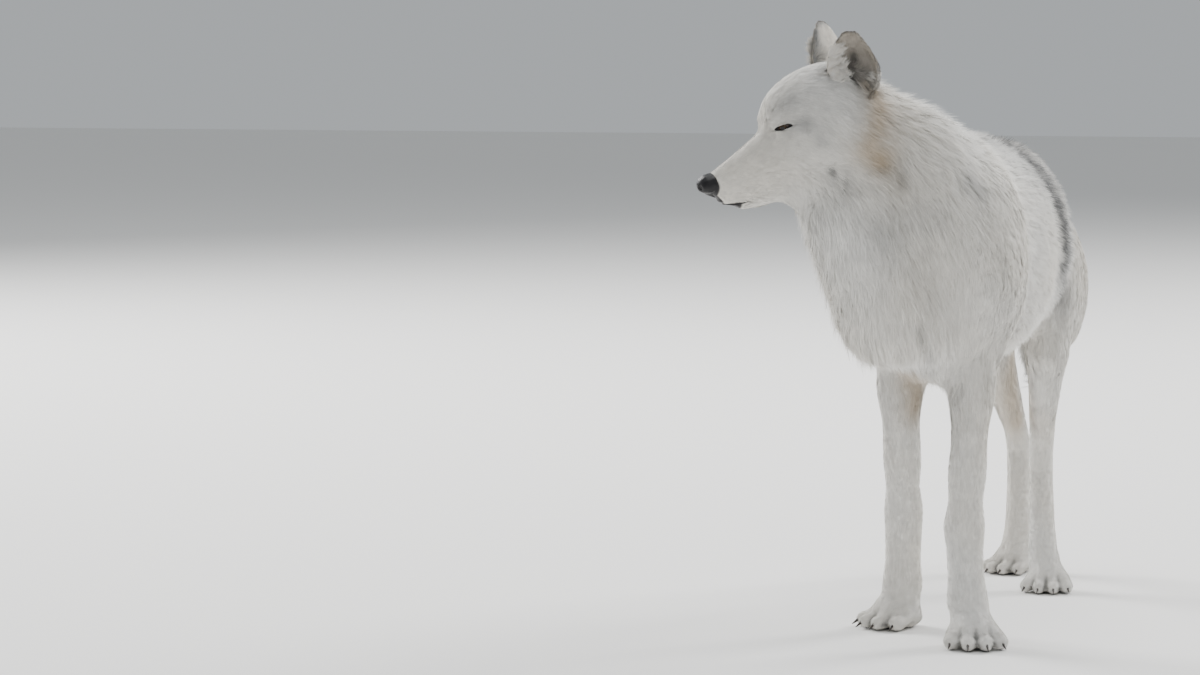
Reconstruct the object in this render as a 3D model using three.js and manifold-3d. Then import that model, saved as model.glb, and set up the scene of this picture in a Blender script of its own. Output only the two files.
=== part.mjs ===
// A life-size arctic wolf in its winter coat, standing still and looking over its right shoulder.
// Millimetres, +Z up. The trunk lies along Y with the chest towards -Y, and its left side is at +X.
// The outline is that of the coat: every surface stands where the tips of the hair are.
// Each sub-part is a capsule wrapped onto a smooth field of masses and bones, then cut at a seam.
import * as THREE from "three";
import { mergeVertices } from "three/addons/utils/BufferGeometryUtils.js";
import Module from "manifold-3d";

const wasm = await Module();
wasm.setup();

const vec = (x, y, z) => new THREE.Vector3(x, y, z);
const SIDES = [1, -1];
const GAP = 0.3; // clear space between two nodes that meet
const MARGIN = 16; // how far a wrapped solid runs past its seam before it is cut there
const STEP = 6; // how far a ray walks at a time when it looks for the surface

// ---------------------------------------------------------------- driving dimensions

const WITHERS_HEIGHT = 806; // top of the shoulders, with the coat
const BACK_HEIGHT = 802;
const CROUP_HEIGHT = 773;
const STERNUM_HEIGHT = 390;
const CHEST_HALF_WIDTH = 146;
const LOIN_HALF_WIDTH = 134;
const HIP_HALF_WIDTH = 122;

// Where the head is held: between the eyes, turned to the wolf's right and nose down.
const HEAD_PLACE = vec(-205, -271, 809);
const HEAD_TURN = 59.4;
const HEAD_PITCH = 29;
const HEAD_ROLL = 7;

const EYE_RADIUS = 11.5;
const EYE_PLACE = vec(-15, 33, 7); // the left eye, in the head's frame
const EAR_BASE = vec(-136, 45, 4); // the left ear, in the head's frame
const EAR_TIP = vec(-163, 72, 97);
const EAR_HALF_WIDTH = 44;

// The middle of each paw on the ground, how far its toes turn out, and the joints above it.
const FRONT_PASTERN = 60;
const HIND_PASTERN = 54;
const LEGS = {
  front_left: {
    side: 1,
    toeOut: 18,
    foot: vec(76, -86, 0),
    pastern: vec(61, -66, FRONT_PASTERN),
    carpus: vec(50, -46, 176),
    elbow: vec(53, -12, 396),
    root: vec(66, -20, 545),
  },
  front_right: {
    side: -1,
    toeOut: 34,
    foot: vec(-88, 74, 0),
    pastern: vec(-80, 80, FRONT_PASTERN),
    carpus: vec(-77, 74, 176),
    elbow: vec(-76, 42, 396),
    root: vec(-68, -4, 545),
  },
  hind_left: {
    side: 1,
    toeOut: 8,
    foot: vec(62, 552, 0),
    pastern: vec(49, 574, HIND_PASTERN),
    hock: vec(30, 640, 232),
    stifle: vec(62, 528, 416),
    root: vec(60, 604, 590),
  },
  hind_right: {
    side: -1,
    toeOut: 24,
    foot: vec(-44, 762, 0),
    pastern: vec(-40, 782, HIND_PASTERN),
    hock: vec(-52, 846, 228),
    stifle: vec(-66, 672, 416),
    root: vec(-58, 628, 590),
  },
};

// ---------------------------------------------------------------- fields

// A field is a function of a point: below 0 inside, and about the distance from the surface.
function ball(centre, radii, tilt = 0) {
  const turn = new THREE.Quaternion().setFromAxisAngle(vec(1, 0, 0), THREE.MathUtils.degToRad(tilt));
  const toLocal = new THREE.Matrix4().compose(centre, turn, vec(1, 1, 1)).invert();
  const least = Math.min(...radii);
  const q = vec(0, 0, 0);
  return (p) => {
    q.copy(p).applyMatrix4(toLocal);
    const k0 = Math.hypot(q.x / radii[0], q.y / radii[1], q.z / radii[2]);
    const k1 = Math.hypot(q.x / radii[0] ** 2, q.y / radii[1] ** 2, q.z / radii[2] ** 2);
    return k1 < 1e-9 ? -least : (k0 * (k0 - 1)) / k1;
  };
}

// A round-ended bone with an oval section: its sizes are [half width across, half depth].
function bone(from, to, sizeFrom, sizeTo, across = vec(1, 0, 0)) {
  const along = to.clone().sub(from);
  const length = along.length();
  along.divideScalar(length);
  const wide = across.clone().addScaledVector(along, -across.dot(along)).normalize();
  const deep = along.clone().cross(wide);
  const d = vec(0, 0, 0);
  return (p) => {
    d.copy(p).sub(from);
    const reach = d.dot(along);
    const t = THREE.MathUtils.clamp(reach / length, 0, 1);
    const halfWidth = THREE.MathUtils.lerp(sizeFrom[0], sizeTo[0], t);
    const halfDepth = THREE.MathUtils.lerp(sizeFrom[1], sizeTo[1], t);
    const least = Math.min(halfWidth, halfDepth);
    const past = (reach - t * length) / least;
    return (Math.hypot(d.dot(wide) / halfWidth, d.dot(deep) / halfDepth, past) - 1) * least;
  };
}

// Joins fields smoothly: softness is how far the join is rounded.
function blend(fields, softness) {
  return (p) => {
    let sum = 0;
    for (const field of fields) sum += Math.exp(-field(p) / softness);
    return -softness * Math.log(sum);
  };
}

// A field that was made in another frame, as seen from the wolf's.
function placed(field, matrix) {
  const toLocal = matrix.clone().invert();
  const q = vec(0, 0, 0);
  return (p) => field(q.copy(p).applyMatrix4(toLocal));
}

// A seam is the flat face where two nodes meet: its normal points away from the node that it ends.
const seam = (point, normal) => ({ point, normal: normal.normalize() });
const otherSide = ({ point, normal }) => ({ point, normal: normal.clone().negate() });

// The field, held to a little past each seam.
function within(field, seams) {
  const d = vec(0, 0, 0);
  const beyond = (p) => ({ point, normal }) => d.copy(p).sub(point).dot(normal) - MARGIN;
  return (p) => Math.max(field(p), ...seams.map(beyond(p)));
}

// ---------------------------------------------------------------- wrapping and cutting

// How far a ray runs from an inside point before the field passes the level.
function castOut(field, from, direction, reach, level) {
  const p = vec(0, 0, 0);
  const outside = (r) => field(p.copy(from).addScaledVector(direction, r)) > level;
  let low = 0;
  while (low < reach && !outside(low + STEP)) low += STEP;
  let high = low + STEP;
  for (let i = 0; i < 12; i++) {
    const middle = (low + high) / 2;
    if (outside(middle)) high = middle;
    else low = middle;
  }
  return low;
}

// A capsule laid along a spine, with each of its vertices cast out to the field's surface.
function wrap({ spine, across = vec(1, 0, 0), rings, sides, caps, field, reach = 330, level = 0 }) {
  const curve = new THREE.CatmullRomCurve3(spine, false, "centripetal");
  const geometry = new THREE.CapsuleGeometry(1, 1, caps, sides, rings);
  const position = geometry.getAttribute("position");
  const normal = geometry.getAttribute("normal");
  for (let i = 0; i < position.count; i++) {
    const t = THREE.MathUtils.clamp(position.getY(i) + 0.5, 0, 1);
    const place = curve.getPointAt(t);
    const tangent = curve.getTangentAt(t);
    const wide = across.clone().addScaledVector(tangent, -across.dot(tangent)).normalize();
    const deep = wide.clone().cross(tangent);
    const direction = vec(0, 0, 0)
      .addScaledVector(wide, normal.getX(i))
      .addScaledVector(tangent, normal.getY(i))
      .addScaledVector(deep, normal.getZ(i))
      .normalize();
    place.addScaledVector(direction, castOut(field, place, direction, reach, level));
    position.setXYZ(i, place.x, place.y, place.z);
  }
  return solidOf(geometry);
}

function solidOf(geometry) {
  const bare = geometry.clone();
  bare.deleteAttribute("normal");
  bare.deleteAttribute("uv");
  const closed = mergeVertices(bare, 1e-3);
  const vertProperties = new Float32Array(closed.getAttribute("position").array);
  const triVerts = new Uint32Array(closed.index.array);
  return new wasm.Manifold(new wasm.Mesh({ numProp: 3, vertProperties, triVerts }));
}

function geometryOf(solid) {
  const mesh = solid.getMesh();
  const geometry = new THREE.BufferGeometry();
  geometry.setAttribute("position", new THREE.BufferAttribute(mesh.vertProperties, 3));
  geometry.setIndex(new THREE.BufferAttribute(mesh.triVerts, 1));
  return geometry;
}

// Cuts off what lies past each seam, and half of the gap before it.
function trimmed(solid, seams, clearance = GAP / 2) {
  const size = 2600;
  let rest = solid;
  for (const { point, normal } of seams) {
    const box = new THREE.BoxGeometry(size, size, size);
    box.translate(0, 0, size / 2 - clearance);
    const turn = new THREE.Quaternion().setFromUnitVectors(vec(0, 0, 1), normal);
    box.applyMatrix4(new THREE.Matrix4().compose(point, turn, vec(1, 1, 1)));
    rest = rest.subtract(solidOf(box));
  }
  return rest;
}

// ---------------------------------------------------------------- the head's frame

// x towards the nose, y to the head's left, z up, from between the eyes.
const headTurn = new THREE.Quaternion()
  .setFromAxisAngle(vec(0, 0, 1), THREE.MathUtils.degToRad(-90 - HEAD_TURN))
  .multiply(
    new THREE.Quaternion().setFromAxisAngle(vec(0, 1, 0), THREE.MathUtils.degToRad(HEAD_PITCH)),
  )
  .multiply(
    new THREE.Quaternion().setFromAxisAngle(vec(1, 0, 0), THREE.MathUtils.degToRad(-HEAD_ROLL)),
  );
const headMatrix = new THREE.Matrix4().compose(HEAD_PLACE, headTurn, vec(1, 1, 1));
const inHead = (x, y, z) => vec(x, y, z).applyMatrix4(headMatrix);
const headDirection = (x, y, z) => vec(x, y, z).applyQuaternion(headTurn);
const sideways = vec(0, 1, 0);

// ---------------------------------------------------------------- masses

const headField = blend(
  [
    ball(vec(-68, 0, 6), [70, 58, 56]),
    ball(vec(-38, 0, 20), [38, 38, 32]),
    bone(vec(14, 0, -21), vec(108, 0, -27), [31, 28], [20, 19], sideways),
    bone(vec(-6, 0, -82), vec(106, 0, -69), [32, 28], [14, 13], sideways),
    ball(vec(-44, 0, -92), [60, 52, 34]),
    ...SIDES.flatMap((s) => [
      ball(vec(-10, 24 * s, 14), [16, 14, 14]),
      bone(vec(18, 17 * s, -50), vec(110, 9 * s, -46), [16, 19], [10, 11], sideways),
      bone(vec(36, 14 * s, -38), vec(-44, 44 * s, -34), [18, 24], [28, 40], sideways),
      ball(vec(-38, 44 * s, -44), [46, 26, 42]),
      ball(vec(-92, 54 * s, -46), [46, 36, 60]),
    ]),
  ],
  6,
);

const neckMasses = [
  bone(vec(0, 20, 684), vec(-34, -116, 752), [110, 114], [92, 94]),
  bone(vec(-34, -116, 752), inHead(-104, 0, -20), [92, 94], [68, 76]),
  bone(vec(-99, -208, 692), vec(-53, -120, 512), [80, 80], [88, 80]),
  bone(vec(-22, -136, 724), vec(34, -44, 590), [84, 84], [92, 94]),
];

function torsoMasses() {
  const chestMiddle = (WITHERS_HEIGHT + STERNUM_HEIGHT) / 2 - 20;
  return [
    ball(vec(0, 20, chestMiddle), [CHEST_HALF_WIDTH - 26, 140, chestMiddle - STERNUM_HEIGHT - 10]),
    ball(vec(0, 210, 602), [CHEST_HALF_WIDTH - 12, 230, BACK_HEIGHT - 616]),
    ball(vec(0, 400, 608), [LOIN_HALF_WIDTH - 12, 200, BACK_HEIGHT - 636]),
    ball(vec(0, 590, 622), [HIP_HALF_WIDTH - 48, 135, CROUP_HEIGHT - 650]),
    bone(vec(0, 20, WITHERS_HEIGHT - 40), vec(0, 600, CROUP_HEIGHT - 38), [42, 38], [28, 28]),
  ];
}

// What the legs carry inside the outline of the trunk: shoulders, upper arms and haunches.
function limbRootMasses({ side, elbow, stifle, root }) {
  if (elbow) {
    return [
      ball(vec(66 * side, root.y + 14, 615), [62, 92, 130], 14),
      bone(root, elbow.clone().add(vec(0, 4, 24)), [50, 70], [37, 44]),
    ];
  }
  return [
    ball(vec((HIP_HALF_WIDTH - 58) * side, root.y, 520), [48, 108, 118], -12),
    bone(root.clone().add(vec(0, -20, -50)), stifle.clone().add(vec(0, 10, 34)), [40, 80], [32, 52]),
  ];
}

const legList = Object.values(LEGS);
const bodyField = blend(
  [
    blend([...torsoMasses(), ...neckMasses, ...legList.flatMap(limbRootMasses)], 14),
    placed(headField, headMatrix),
  ],
  12,
);

function legField({ elbow, carpus, pastern, foot, hock, stifle, root }) {
  if (elbow) {
    const middle = elbow.clone().lerp(carpus, 0.6);
    return blend(
      [
        bone(root, elbow, [40, 66], [36, 46]),
        bone(elbow, middle, [36, 45], [23, 27]),
        bone(middle, carpus, [23, 27], [24, 24]),
        ball(carpus, [24, 23, 30]),
        bone(carpus, pastern, [24, 23], [27, 24]),
        bone(pastern, foot.clone().add(vec(0, 8, 26)), [27, 24], [32, 30]),
      ],
      6,
    );
  }
  const heel = hock.clone().add(vec(0, 16, 10));
  return blend(
    [
      bone(root, stifle, [42, 84], [35, 60]),
      bone(stifle, hock, [34, 56], [18, 26]),
      ball(heel, [16, 17, 24]),
      bone(hock, pastern, [20, 24], [24, 23]),
      bone(pastern, foot.clone().add(vec(0, 8, 24)), [24, 23], [30, 28]),
    ],
    6,
  );
}

// ---------------------------------------------------------------- seams

const neckBase = seam(vec(-10, -60, 700), vec(-0.2, -0.76, 0.62));
const skullBase = seam(inHead(-84, 0, -29), headDirection(0.7, 0.1, 0.7));
const legLine = seam(vec(0, 0, 378), vec(0, 0.04, -1));
const floorLine = seam(vec(0, 0, 0), vec(0, 0, -1));
const pasternLine = (leg) => seam(vec(0, 0, leg.pastern.z), vec(0, 0, -1));

// ---------------------------------------------------------------- trunk, neck and tail

// The hind leg's spine rounds off the stifle and the hock, so that its rings don't cross.
function hindSpine({ root, stifle, hock, pastern }) {
  return [
    stifle.clone().lerp(root, 0.16).add(vec(0, 8, 0)),
    stifle.clone().lerp(hock, 0.3),
    hock.clone().lerp(stifle, 0.16),
    hock.clone().lerp(pastern, 0.2),
  ];
}

function legSolid(leg) {
  const joints = leg.elbow ? [leg.elbow, leg.carpus] : hindSpine(leg);
  return wrap({
    spine: [leg.root, ...joints, leg.pastern, vec(leg.foot.x, leg.foot.y + 8, 30)],
    rings: 13,
    sides: 12,
    caps: 2,
    field: legField(leg),
    reach: 120,
  });
}

// From the rump to the back of the head in one piece, so that trunk and neck meet in one section.
function bodySolid(level = 0) {
  return wrap({
    spine: [
      vec(0, 636, 606),
      vec(0, 480, 606),
      vec(0, 320, 600),
      vec(0, 160, 596),
      vec(0, 40, 610),
      vec(-10, -44, 656),
      vec(-40, -114, 726),
      vec(-80, -176, 784),
      vec(-122, -221, 820),
    ],
    rings: 26,
    sides: 30,
    caps: 3,
    field: within(bodyField, [skullBase]),
    level,
  });
}

function trunkSolid() {
  const whole = legList.reduce((solid, leg) => solid.add(legSolid(leg)), bodySolid());
  return trimmed(whole, [neckBase, legLine]);
}

function neckSolid() {
  return trimmed(bodySolid(), [otherSide(neckBase), skullBase]);
}

function tailSolid() {
  const wrapped = wrap({
    spine: [vec(0, 690, 680), vec(0, 760, 622), vec(-8, 808, 510), vec(-16, 840, 400), vec(-20, 850, 340)],
    rings: 7,
    sides: 10,
    caps: 2,
    field: blend(
      [
        bone(vec(0, 680, 680), vec(0, 758, 620), [32, 30], [40, 38]),
        bone(vec(0, 758, 620), vec(-8, 808, 500), [40, 38], [52, 46]),
        bone(vec(-8, 808, 500), vec(-18, 842, 380), [52, 46], [34, 32]),
        bone(vec(-18, 842, 380), vec(-20, 850, 306), [34, 32], [9, 9]),
      ],
      6,
    ),
    reach: 120,
  });
  return wrapped.subtract(bodySolid(GAP));
}

// ---------------------------------------------------------------- paws and claws

// Four toes, each as its place across the paw, its reach forward and how far it points aside.
const TOES = [
  { across: 35, reach: 44, aside: 15 },
  { across: 13, reach: 61, aside: 5 },
  { across: -13, reach: 61, aside: -5 },
  { across: -35, reach: 44, aside: -15 },
];
const CLAW_LENGTH = 15;
const CLAW_RADIUS = 3.6;

const pawScale = (leg) => (leg.elbow ? 1 : 0.9);

// From the paw's own frame (x across, -y forward) to the wolf's.
function pawMatrix(leg) {
  const turn = new THREE.Quaternion();
  turn.setFromAxisAngle(vec(0, 0, 1), THREE.MathUtils.degToRad(leg.toeOut * leg.side));
  const scale = pawScale(leg);
  return new THREE.Matrix4().compose(leg.foot, turn, vec(scale, scale, scale));
}

function toeLine({ across, reach, aside }) {
  const spread = Math.tan(THREE.MathUtils.degToRad(aside));
  const knuckle = vec(across * 0.86, -reach + 34, 27);
  const tip = vec(across * 0.86 + 34 * spread, -reach + 6, 14);
  return { knuckle, tip };
}

function toeSolid(toe, matrix) {
  const { knuckle, tip } = toeLine(toe);
  const rear = knuckle.clone().add(vec(0, 22, -4));
  const field = blend(
    [
      bone(rear, knuckle, [13, 14], [14, 16]),
      bone(knuckle, tip, [14, 16], [13, 12]),
      ball(tip.clone().add(vec(0, 4, -4)), [14, 14, 11]),
    ],
    2,
  );
  return wrap({
    spine: [rear, knuckle, tip].map((p) => p.clone().applyMatrix4(matrix)),
    rings: 1,
    sides: 6,
    caps: 2,
    field: placed(field, matrix),
    reach: 40,
  });
}

// A claw, rooted in the toe and bent down to its tip; grown is the clearance of its socket.
function clawSolid(toe, matrix, grown = 0) {
  const { knuckle, tip } = toeLine(toe);
  const forward = tip.clone().sub(knuckle).setZ(0).normalize();
  const root = tip.clone().addScaledVector(forward, 4).setZ(14);
  const middle = root.clone().addScaledVector(forward, CLAW_LENGTH * 0.55).setZ(11);
  const point = root.clone().addScaledVector(forward, CLAW_LENGTH).setZ(4.5);
  const size = (share) => [CLAW_RADIUS * share + grown, CLAW_RADIUS * share * 1.25 + grown];
  const field = blend(
    [bone(root, middle, size(1), size(0.8)), bone(middle, point, size(0.8), size(0.3))],
    0.4,
  );
  return wrap({
    spine: [root, middle, point].map((p) => p.clone().applyMatrix4(matrix)),
    rings: 1,
    sides: 5,
    caps: 1,
    field: placed(field, matrix),
    reach: 12,
  });
}

function pawSolid(leg) {
  const matrix = pawMatrix(leg);
  const scale = pawScale(leg);
  const top = leg.pastern.clone().add(vec(0, 0, MARGIN));
  const pad = vec(0, 2, 20).applyMatrix4(matrix);
  const palm = wrap({
    spine: [top, leg.pastern, pad],
    rings: 2,
    sides: 9,
    caps: 2,
    field: blend(
      [
        legField(leg),
        placed(ball(vec(0, 6, 18), [42, 40, 25]), matrix),
        placed(ball(vec(0, -20, 20), [40, 30, 23]), matrix),
      ],
      5,
    ),
    reach: 70 * scale,
  });
  const toes = TOES.map((toe) => toeSolid(toe, matrix));
  const claws = TOES.map((toe) => clawSolid(toe, matrix, GAP));
  const whole = toes.reduce((solid, toe) => solid.add(toe), palm);
  const cut = trimmed(trimmed(whole, [otherSide(pasternLine(leg))]), [floorLine], 0);
  return claws.reduce((solid, claw) => solid.subtract(claw), cut);
}

// ---------------------------------------------------------------- head

function headWrap(level = 0) {
  return wrap({
    spine: [inHead(-112, 0, 6), inHead(-60, 0, -12), inHead(10, 0, -36), inHead(70, 0, -42), inHead(106, 0, -40)],
    across: headDirection(0, 1, 0),
    rings: 17,
    sides: 22,
    caps: 3,
    field: within(bodyField, [otherSide(skullBase)]),
    reach: 160,
    level,
  });
}

function noseSolid(grown = 0) {
  const size = (...radii) => radii.map((r) => r + grown);
  const field = blend(
    [
      ball(vec(124, 0, -20), size(18, 17, 14)),
      ball(vec(122, 0, -38), size(9, 8, 13)),
      ...SIDES.map((s) => ball(vec(122, 10 * s, -23), size(13, 10, 11))),
    ],
    2,
  );
  return wrap({
    spine: [inHead(116, 0, -24), inHead(128, 0, -22)],
    across: headDirection(0, 1, 0),
    rings: 1,
    sides: 12,
    caps: 3,
    field: placed(field, headMatrix),
    reach: 40,
  });
}

function eyeSolid(side, grown = 0) {
  const sphere = new THREE.SphereGeometry(EYE_RADIUS + grown, 10, 7);
  const { x, y, z } = inHead(EYE_PLACE.x, EYE_PLACE.y * side, EYE_PLACE.z);
  sphere.translate(x, y, z);
  return solidOf(sphere);
}

// The narrow opening between the lids, from the inner corner back to the outer one.
function lidOpening(side) {
  const inner = vec(1, 37 * side, 7.6);
  const outer = vec(-19, 51 * side, 6.8);
  return wrap({
    spine: [inner, outer].map((p) => p.clone().applyMatrix4(headMatrix)),
    across: headDirection(0.57, 0.82 * side, 0),
    rings: 1,
    sides: 6,
    caps: 2,
    field: placed(bone(inner, outer, [7, 3.2], [7, 2.8], vec(0.57, 0.82 * side, 0)), headMatrix),
    reach: 20,
  });
}

// The line of the closed mouth: a shallow groove along each side of the muzzle.
function mouthGroove(side) {
  const field = blend(
    [
      bone(vec(122, 0, -50), vec(100, 17 * side, -57), [7, 1.4], [7, 1.4], sideways),
      bone(vec(100, 17 * side, -57), vec(36, 31 * side, -74), [7, 1.4], [6, 1.2], sideways),
    ],
    0.5,
  );
  return wrap({
    spine: [inHead(122, 0, -50), inHead(100, 17 * side, -57), inHead(36, 31 * side, -74)],
    across: headDirection(0, 1, 0),
    rings: 4,
    sides: 4,
    caps: 1,
    field: placed(field, headMatrix),
    reach: 20,
  });
}

function headSolid() {
  const cut = trimmed(headWrap(), [otherSide(skullBase)]);
  const hollows = SIDES.flatMap((s) => [eyeSolid(s, GAP), lidOpening(s), mouthGroove(s)]);
  return [noseSolid(GAP), ...hollows].reduce((solid, hollow) => solid.subtract(hollow), cut);
}

// An ear: a tapering shell with a rounded tip, hollowed from the front and the outer side.
function earSolid(side) {
  const base = inHead(EAR_BASE.x, EAR_BASE.y * side, EAR_BASE.z);
  const tip = inHead(EAR_TIP.x, EAR_TIP.y * side, EAR_TIP.z - 10);
  const across = headDirection(0.78, -0.62 * side, 0.1);
  const outward = headDirection(0.62, 0.78 * side, 0.12);
  const cone = (inset, shift, sides) => {
    const from = base.clone().addScaledVector(outward, shift);
    const to = tip.clone().addScaledVector(outward, shift * 0.6);
    const middle = from.clone().lerp(to, 0.55);
    const field = blend(
      [
        bone(from, middle, [EAR_HALF_WIDTH - inset, 24 - inset], [37 - inset, 17 - inset], across),
        bone(middle, to, [37 - inset, 17 - inset], [17 - inset, 8 - inset * 0.6], across),
      ],
      3,
    );
    return wrap({ spine: [from, middle, to], across, rings: 3, sides, caps: 2, field, reach: 70 });
  };
  return cone(0, 0, 10).subtract(cone(6, 13, 8)).subtract(headWrap(GAP)).subtract(bodySolid(GAP));
}

// ---------------------------------------------------------------- the wolf

const group = new THREE.Group();
const materials = {
  coat: new THREE.MeshStandardMaterial({ color: 0xe2e0d8, roughness: 0.95, metalness: 0 }),
  nose: new THREE.MeshStandardMaterial({ color: 0x1d1b1e, roughness: 0.45, metalness: 0 }),
  eye: new THREE.MeshStandardMaterial({ color: 0x3a2410, roughness: 0.1, metalness: 0 }),
  claw: new THREE.MeshStandardMaterial({ color: 0x3b3530, roughness: 0.5, metalness: 0 }),
};

function addNode(name, solid, material) {
  const mesh = new THREE.Mesh(geometryOf(solid), material);
  mesh.name = name;
  group.add(mesh);
}

addNode("trunk", trunkSolid(), materials.coat);
addNode("neck", neckSolid(), materials.coat);
addNode("tail", tailSolid(), materials.coat);
addNode("head", headSolid(), materials.coat);
addNode("nose", noseSolid(), materials.nose);
for (const side of SIDES) {
  const sideName = side > 0 ? "left" : "right";
  addNode(`${sideName}_ear`, earSolid(side), materials.coat);
  addNode(`${sideName}_eye`, eyeSolid(side), materials.eye);
}
for (const [name, leg] of Object.entries(LEGS)) {
  addNode(`${name}_leg`, trimmed(legSolid(leg), [otherSide(legLine), pasternLine(leg)]), materials.coat);
  addNode(`${name}_paw`, pawSolid(leg), materials.coat);
  TOES.forEach((toe, i) => {
    addNode(`${name}_claw_${i + 1}`, clawSolid(toe, pawMatrix(leg)), materials.claw);
  });
}

// The origin is on the floor, under the middle of the whole animal.
const box = new THREE.Box3().setFromObject(group);
group.position.set(-(box.min.x + box.max.x) / 2, -(box.min.y + box.max.y) / 2, -box.min.z);

export default group;
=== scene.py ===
import math

import bmesh
import bpy
import numpy as np
from mathutils import Matrix, Vector
from mathutils.bvhtree import BVHTree
from mathutils.kdtree import KDTree


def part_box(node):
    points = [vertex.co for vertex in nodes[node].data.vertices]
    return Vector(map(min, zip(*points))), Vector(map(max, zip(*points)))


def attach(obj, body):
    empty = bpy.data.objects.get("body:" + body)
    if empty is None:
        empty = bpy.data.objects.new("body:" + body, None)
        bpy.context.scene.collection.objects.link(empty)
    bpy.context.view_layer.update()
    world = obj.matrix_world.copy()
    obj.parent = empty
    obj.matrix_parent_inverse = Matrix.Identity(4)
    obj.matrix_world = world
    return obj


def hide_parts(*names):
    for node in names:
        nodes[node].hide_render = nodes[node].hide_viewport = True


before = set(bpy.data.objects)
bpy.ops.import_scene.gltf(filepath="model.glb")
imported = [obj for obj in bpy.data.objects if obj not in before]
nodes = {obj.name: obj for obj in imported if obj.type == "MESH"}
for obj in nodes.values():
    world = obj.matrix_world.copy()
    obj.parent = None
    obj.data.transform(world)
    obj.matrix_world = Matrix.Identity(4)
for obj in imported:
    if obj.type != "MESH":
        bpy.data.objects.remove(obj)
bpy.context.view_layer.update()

print("frame loaded")

pose = {
    "headPlace": (-205.0, -271.0, 809.0),  # between the eyes, in the wolf's own millimetres
    "headTurn": 59.4,
    "headPitch": 29.0,
    "headRoll": 7.0,
    "eyePlace": (-15.0, 33.0, 7.0),  # the left eye, in the head's millimetres
    "eyeRadius": 11.5,
    "earBase": (-136.0, 45.0, 4.0),
    "earTip": (-163.0, 72.0, 97.0),
}
headAxes = np.array(
    Matrix.Rotation(math.radians(-90 - pose["headTurn"]), 3, "Z")
    @ Matrix.Rotation(math.radians(pose["headPitch"]), 3, "Y")
    @ Matrix.Rotation(math.radians(-pose["headRoll"]), 3, "X")
)


def boxMiddle(name):
    low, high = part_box(name)
    return (np.array(low) + np.array(high)) / 2


eyesMiddle = (boxMiddle("left_eye") + boxMiddle("right_eye")) / 2
headOrigin = eyesMiddle - headAxes @ np.array((pose["eyePlace"][0], 0, pose["eyePlace"][2])) / 1000
wolfOrigin = headOrigin - np.array(pose["headPlace"]) / 1000


def place(x, y, z):  # the wolf's millimetres to metres in the part's frame
    return wolfOrigin + np.array((x, y, z)) / 1000


def onHead(x, y, z):  # the head's millimetres to metres in the part's frame
    return headOrigin + headAxes @ (np.array((x, y, z)) / 1000)


def toHead(points):
    return (points - headOrigin) @ headAxes * 1000


def unit(vectors):
    return vectors / np.maximum(np.linalg.norm(vectors, axis=-1, keepdims=True), 1e-9)


def smoothStep(low, high, value):
    t = np.clip((value - low) / (high - low), 0, 1)
    return t * t * (3 - 2 * t)


def ripple(points, size, seed=0.0):  # a soft seeded pattern between about -1 and 1
    q = points / size
    a = np.sin(q[:, 0] * 1.7 + q[:, 1] * 2.3 + seed) + np.sin(q[:, 1] * 1.9 - q[:, 2] * 2.1 + seed * 1.7)
    b = np.sin(q[:, 2] * 2.7 + q[:, 0] * 1.3 + seed * 0.6 + a)
    b += np.sin(q[:, 0] * 3.1 - q[:, 1] * 1.1 + seed * 2.9 + 0.7)
    return (a + b) / 3.2


# In millimetres, how deep the coat stands over the skin, how long its hairs are, how wide a blade
# is at its middle and how far a tuft spreads, then how many tufts grow on a square metre of skin.
coatKinds = {
    "muzzle": {"depth": 0.8, "length": 6, "width": 0.45, "spread": 1.4, "density": 860e3, "droop": 0.1},
    "brow": {"depth": 1.6, "length": 10, "width": 0.5, "spread": 2.0, "density": 600e3, "droop": 0.1},
    "lid": {"depth": 0.4, "length": 3.0, "width": 0.35, "spread": 0.9, "density": 700e3, "droop": 0.0},
    "cheek": {"depth": 5, "length": 22, "width": 0.7, "spread": 3.4, "density": 330e3, "droop": 0.5},
    "ruff": {"depth": 13, "length": 38, "width": 0.9, "spread": 4.6, "density": 210e3, "droop": 0.5},
    "ear": {"depth": 1.2, "length": 7, "width": 0.55, "spread": 1.6, "density": 420e3, "droop": 0.0},
    "neck": {"depth": 18, "length": 54, "width": 1.15, "spread": 6.0, "density": 92e3, "droop": 0.7},
    "chest": {"depth": 16, "length": 52, "width": 1.15, "spread": 6.0, "density": 84e3, "droop": 1.0},
    "trunk": {"depth": 13, "length": 42, "width": 1.15, "spread": 6.0, "density": 70e3, "droop": 0.5},
    "thigh": {"depth": 5, "length": 26, "width": 0.8, "spread": 4.6, "density": 110e3, "droop": 0.5},
    "leg": {"depth": 1.2, "length": 9, "width": 0.5, "spread": 2.4, "density": 170e3, "droop": 0.0},
    "paw": {"depth": 1.4, "length": 7, "width": 0.55, "spread": 1.6, "density": 220e3, "droop": 0.2},
    "tail": {"depth": 15, "length": 52, "width": 1.15, "spread": 6.0, "density": 130e3, "droop": 0.0},
}
kindNames = list(coatKinds)

# The hair lies along these lines, from their first point to their last, with the flesh's radius.
lines = []


def line(kind, radius, *points):
    for start, end in zip(points, points[1:]):
        lines.append((kindNames.index(kind), np.array(start), np.array(end), radius / 1000))


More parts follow.
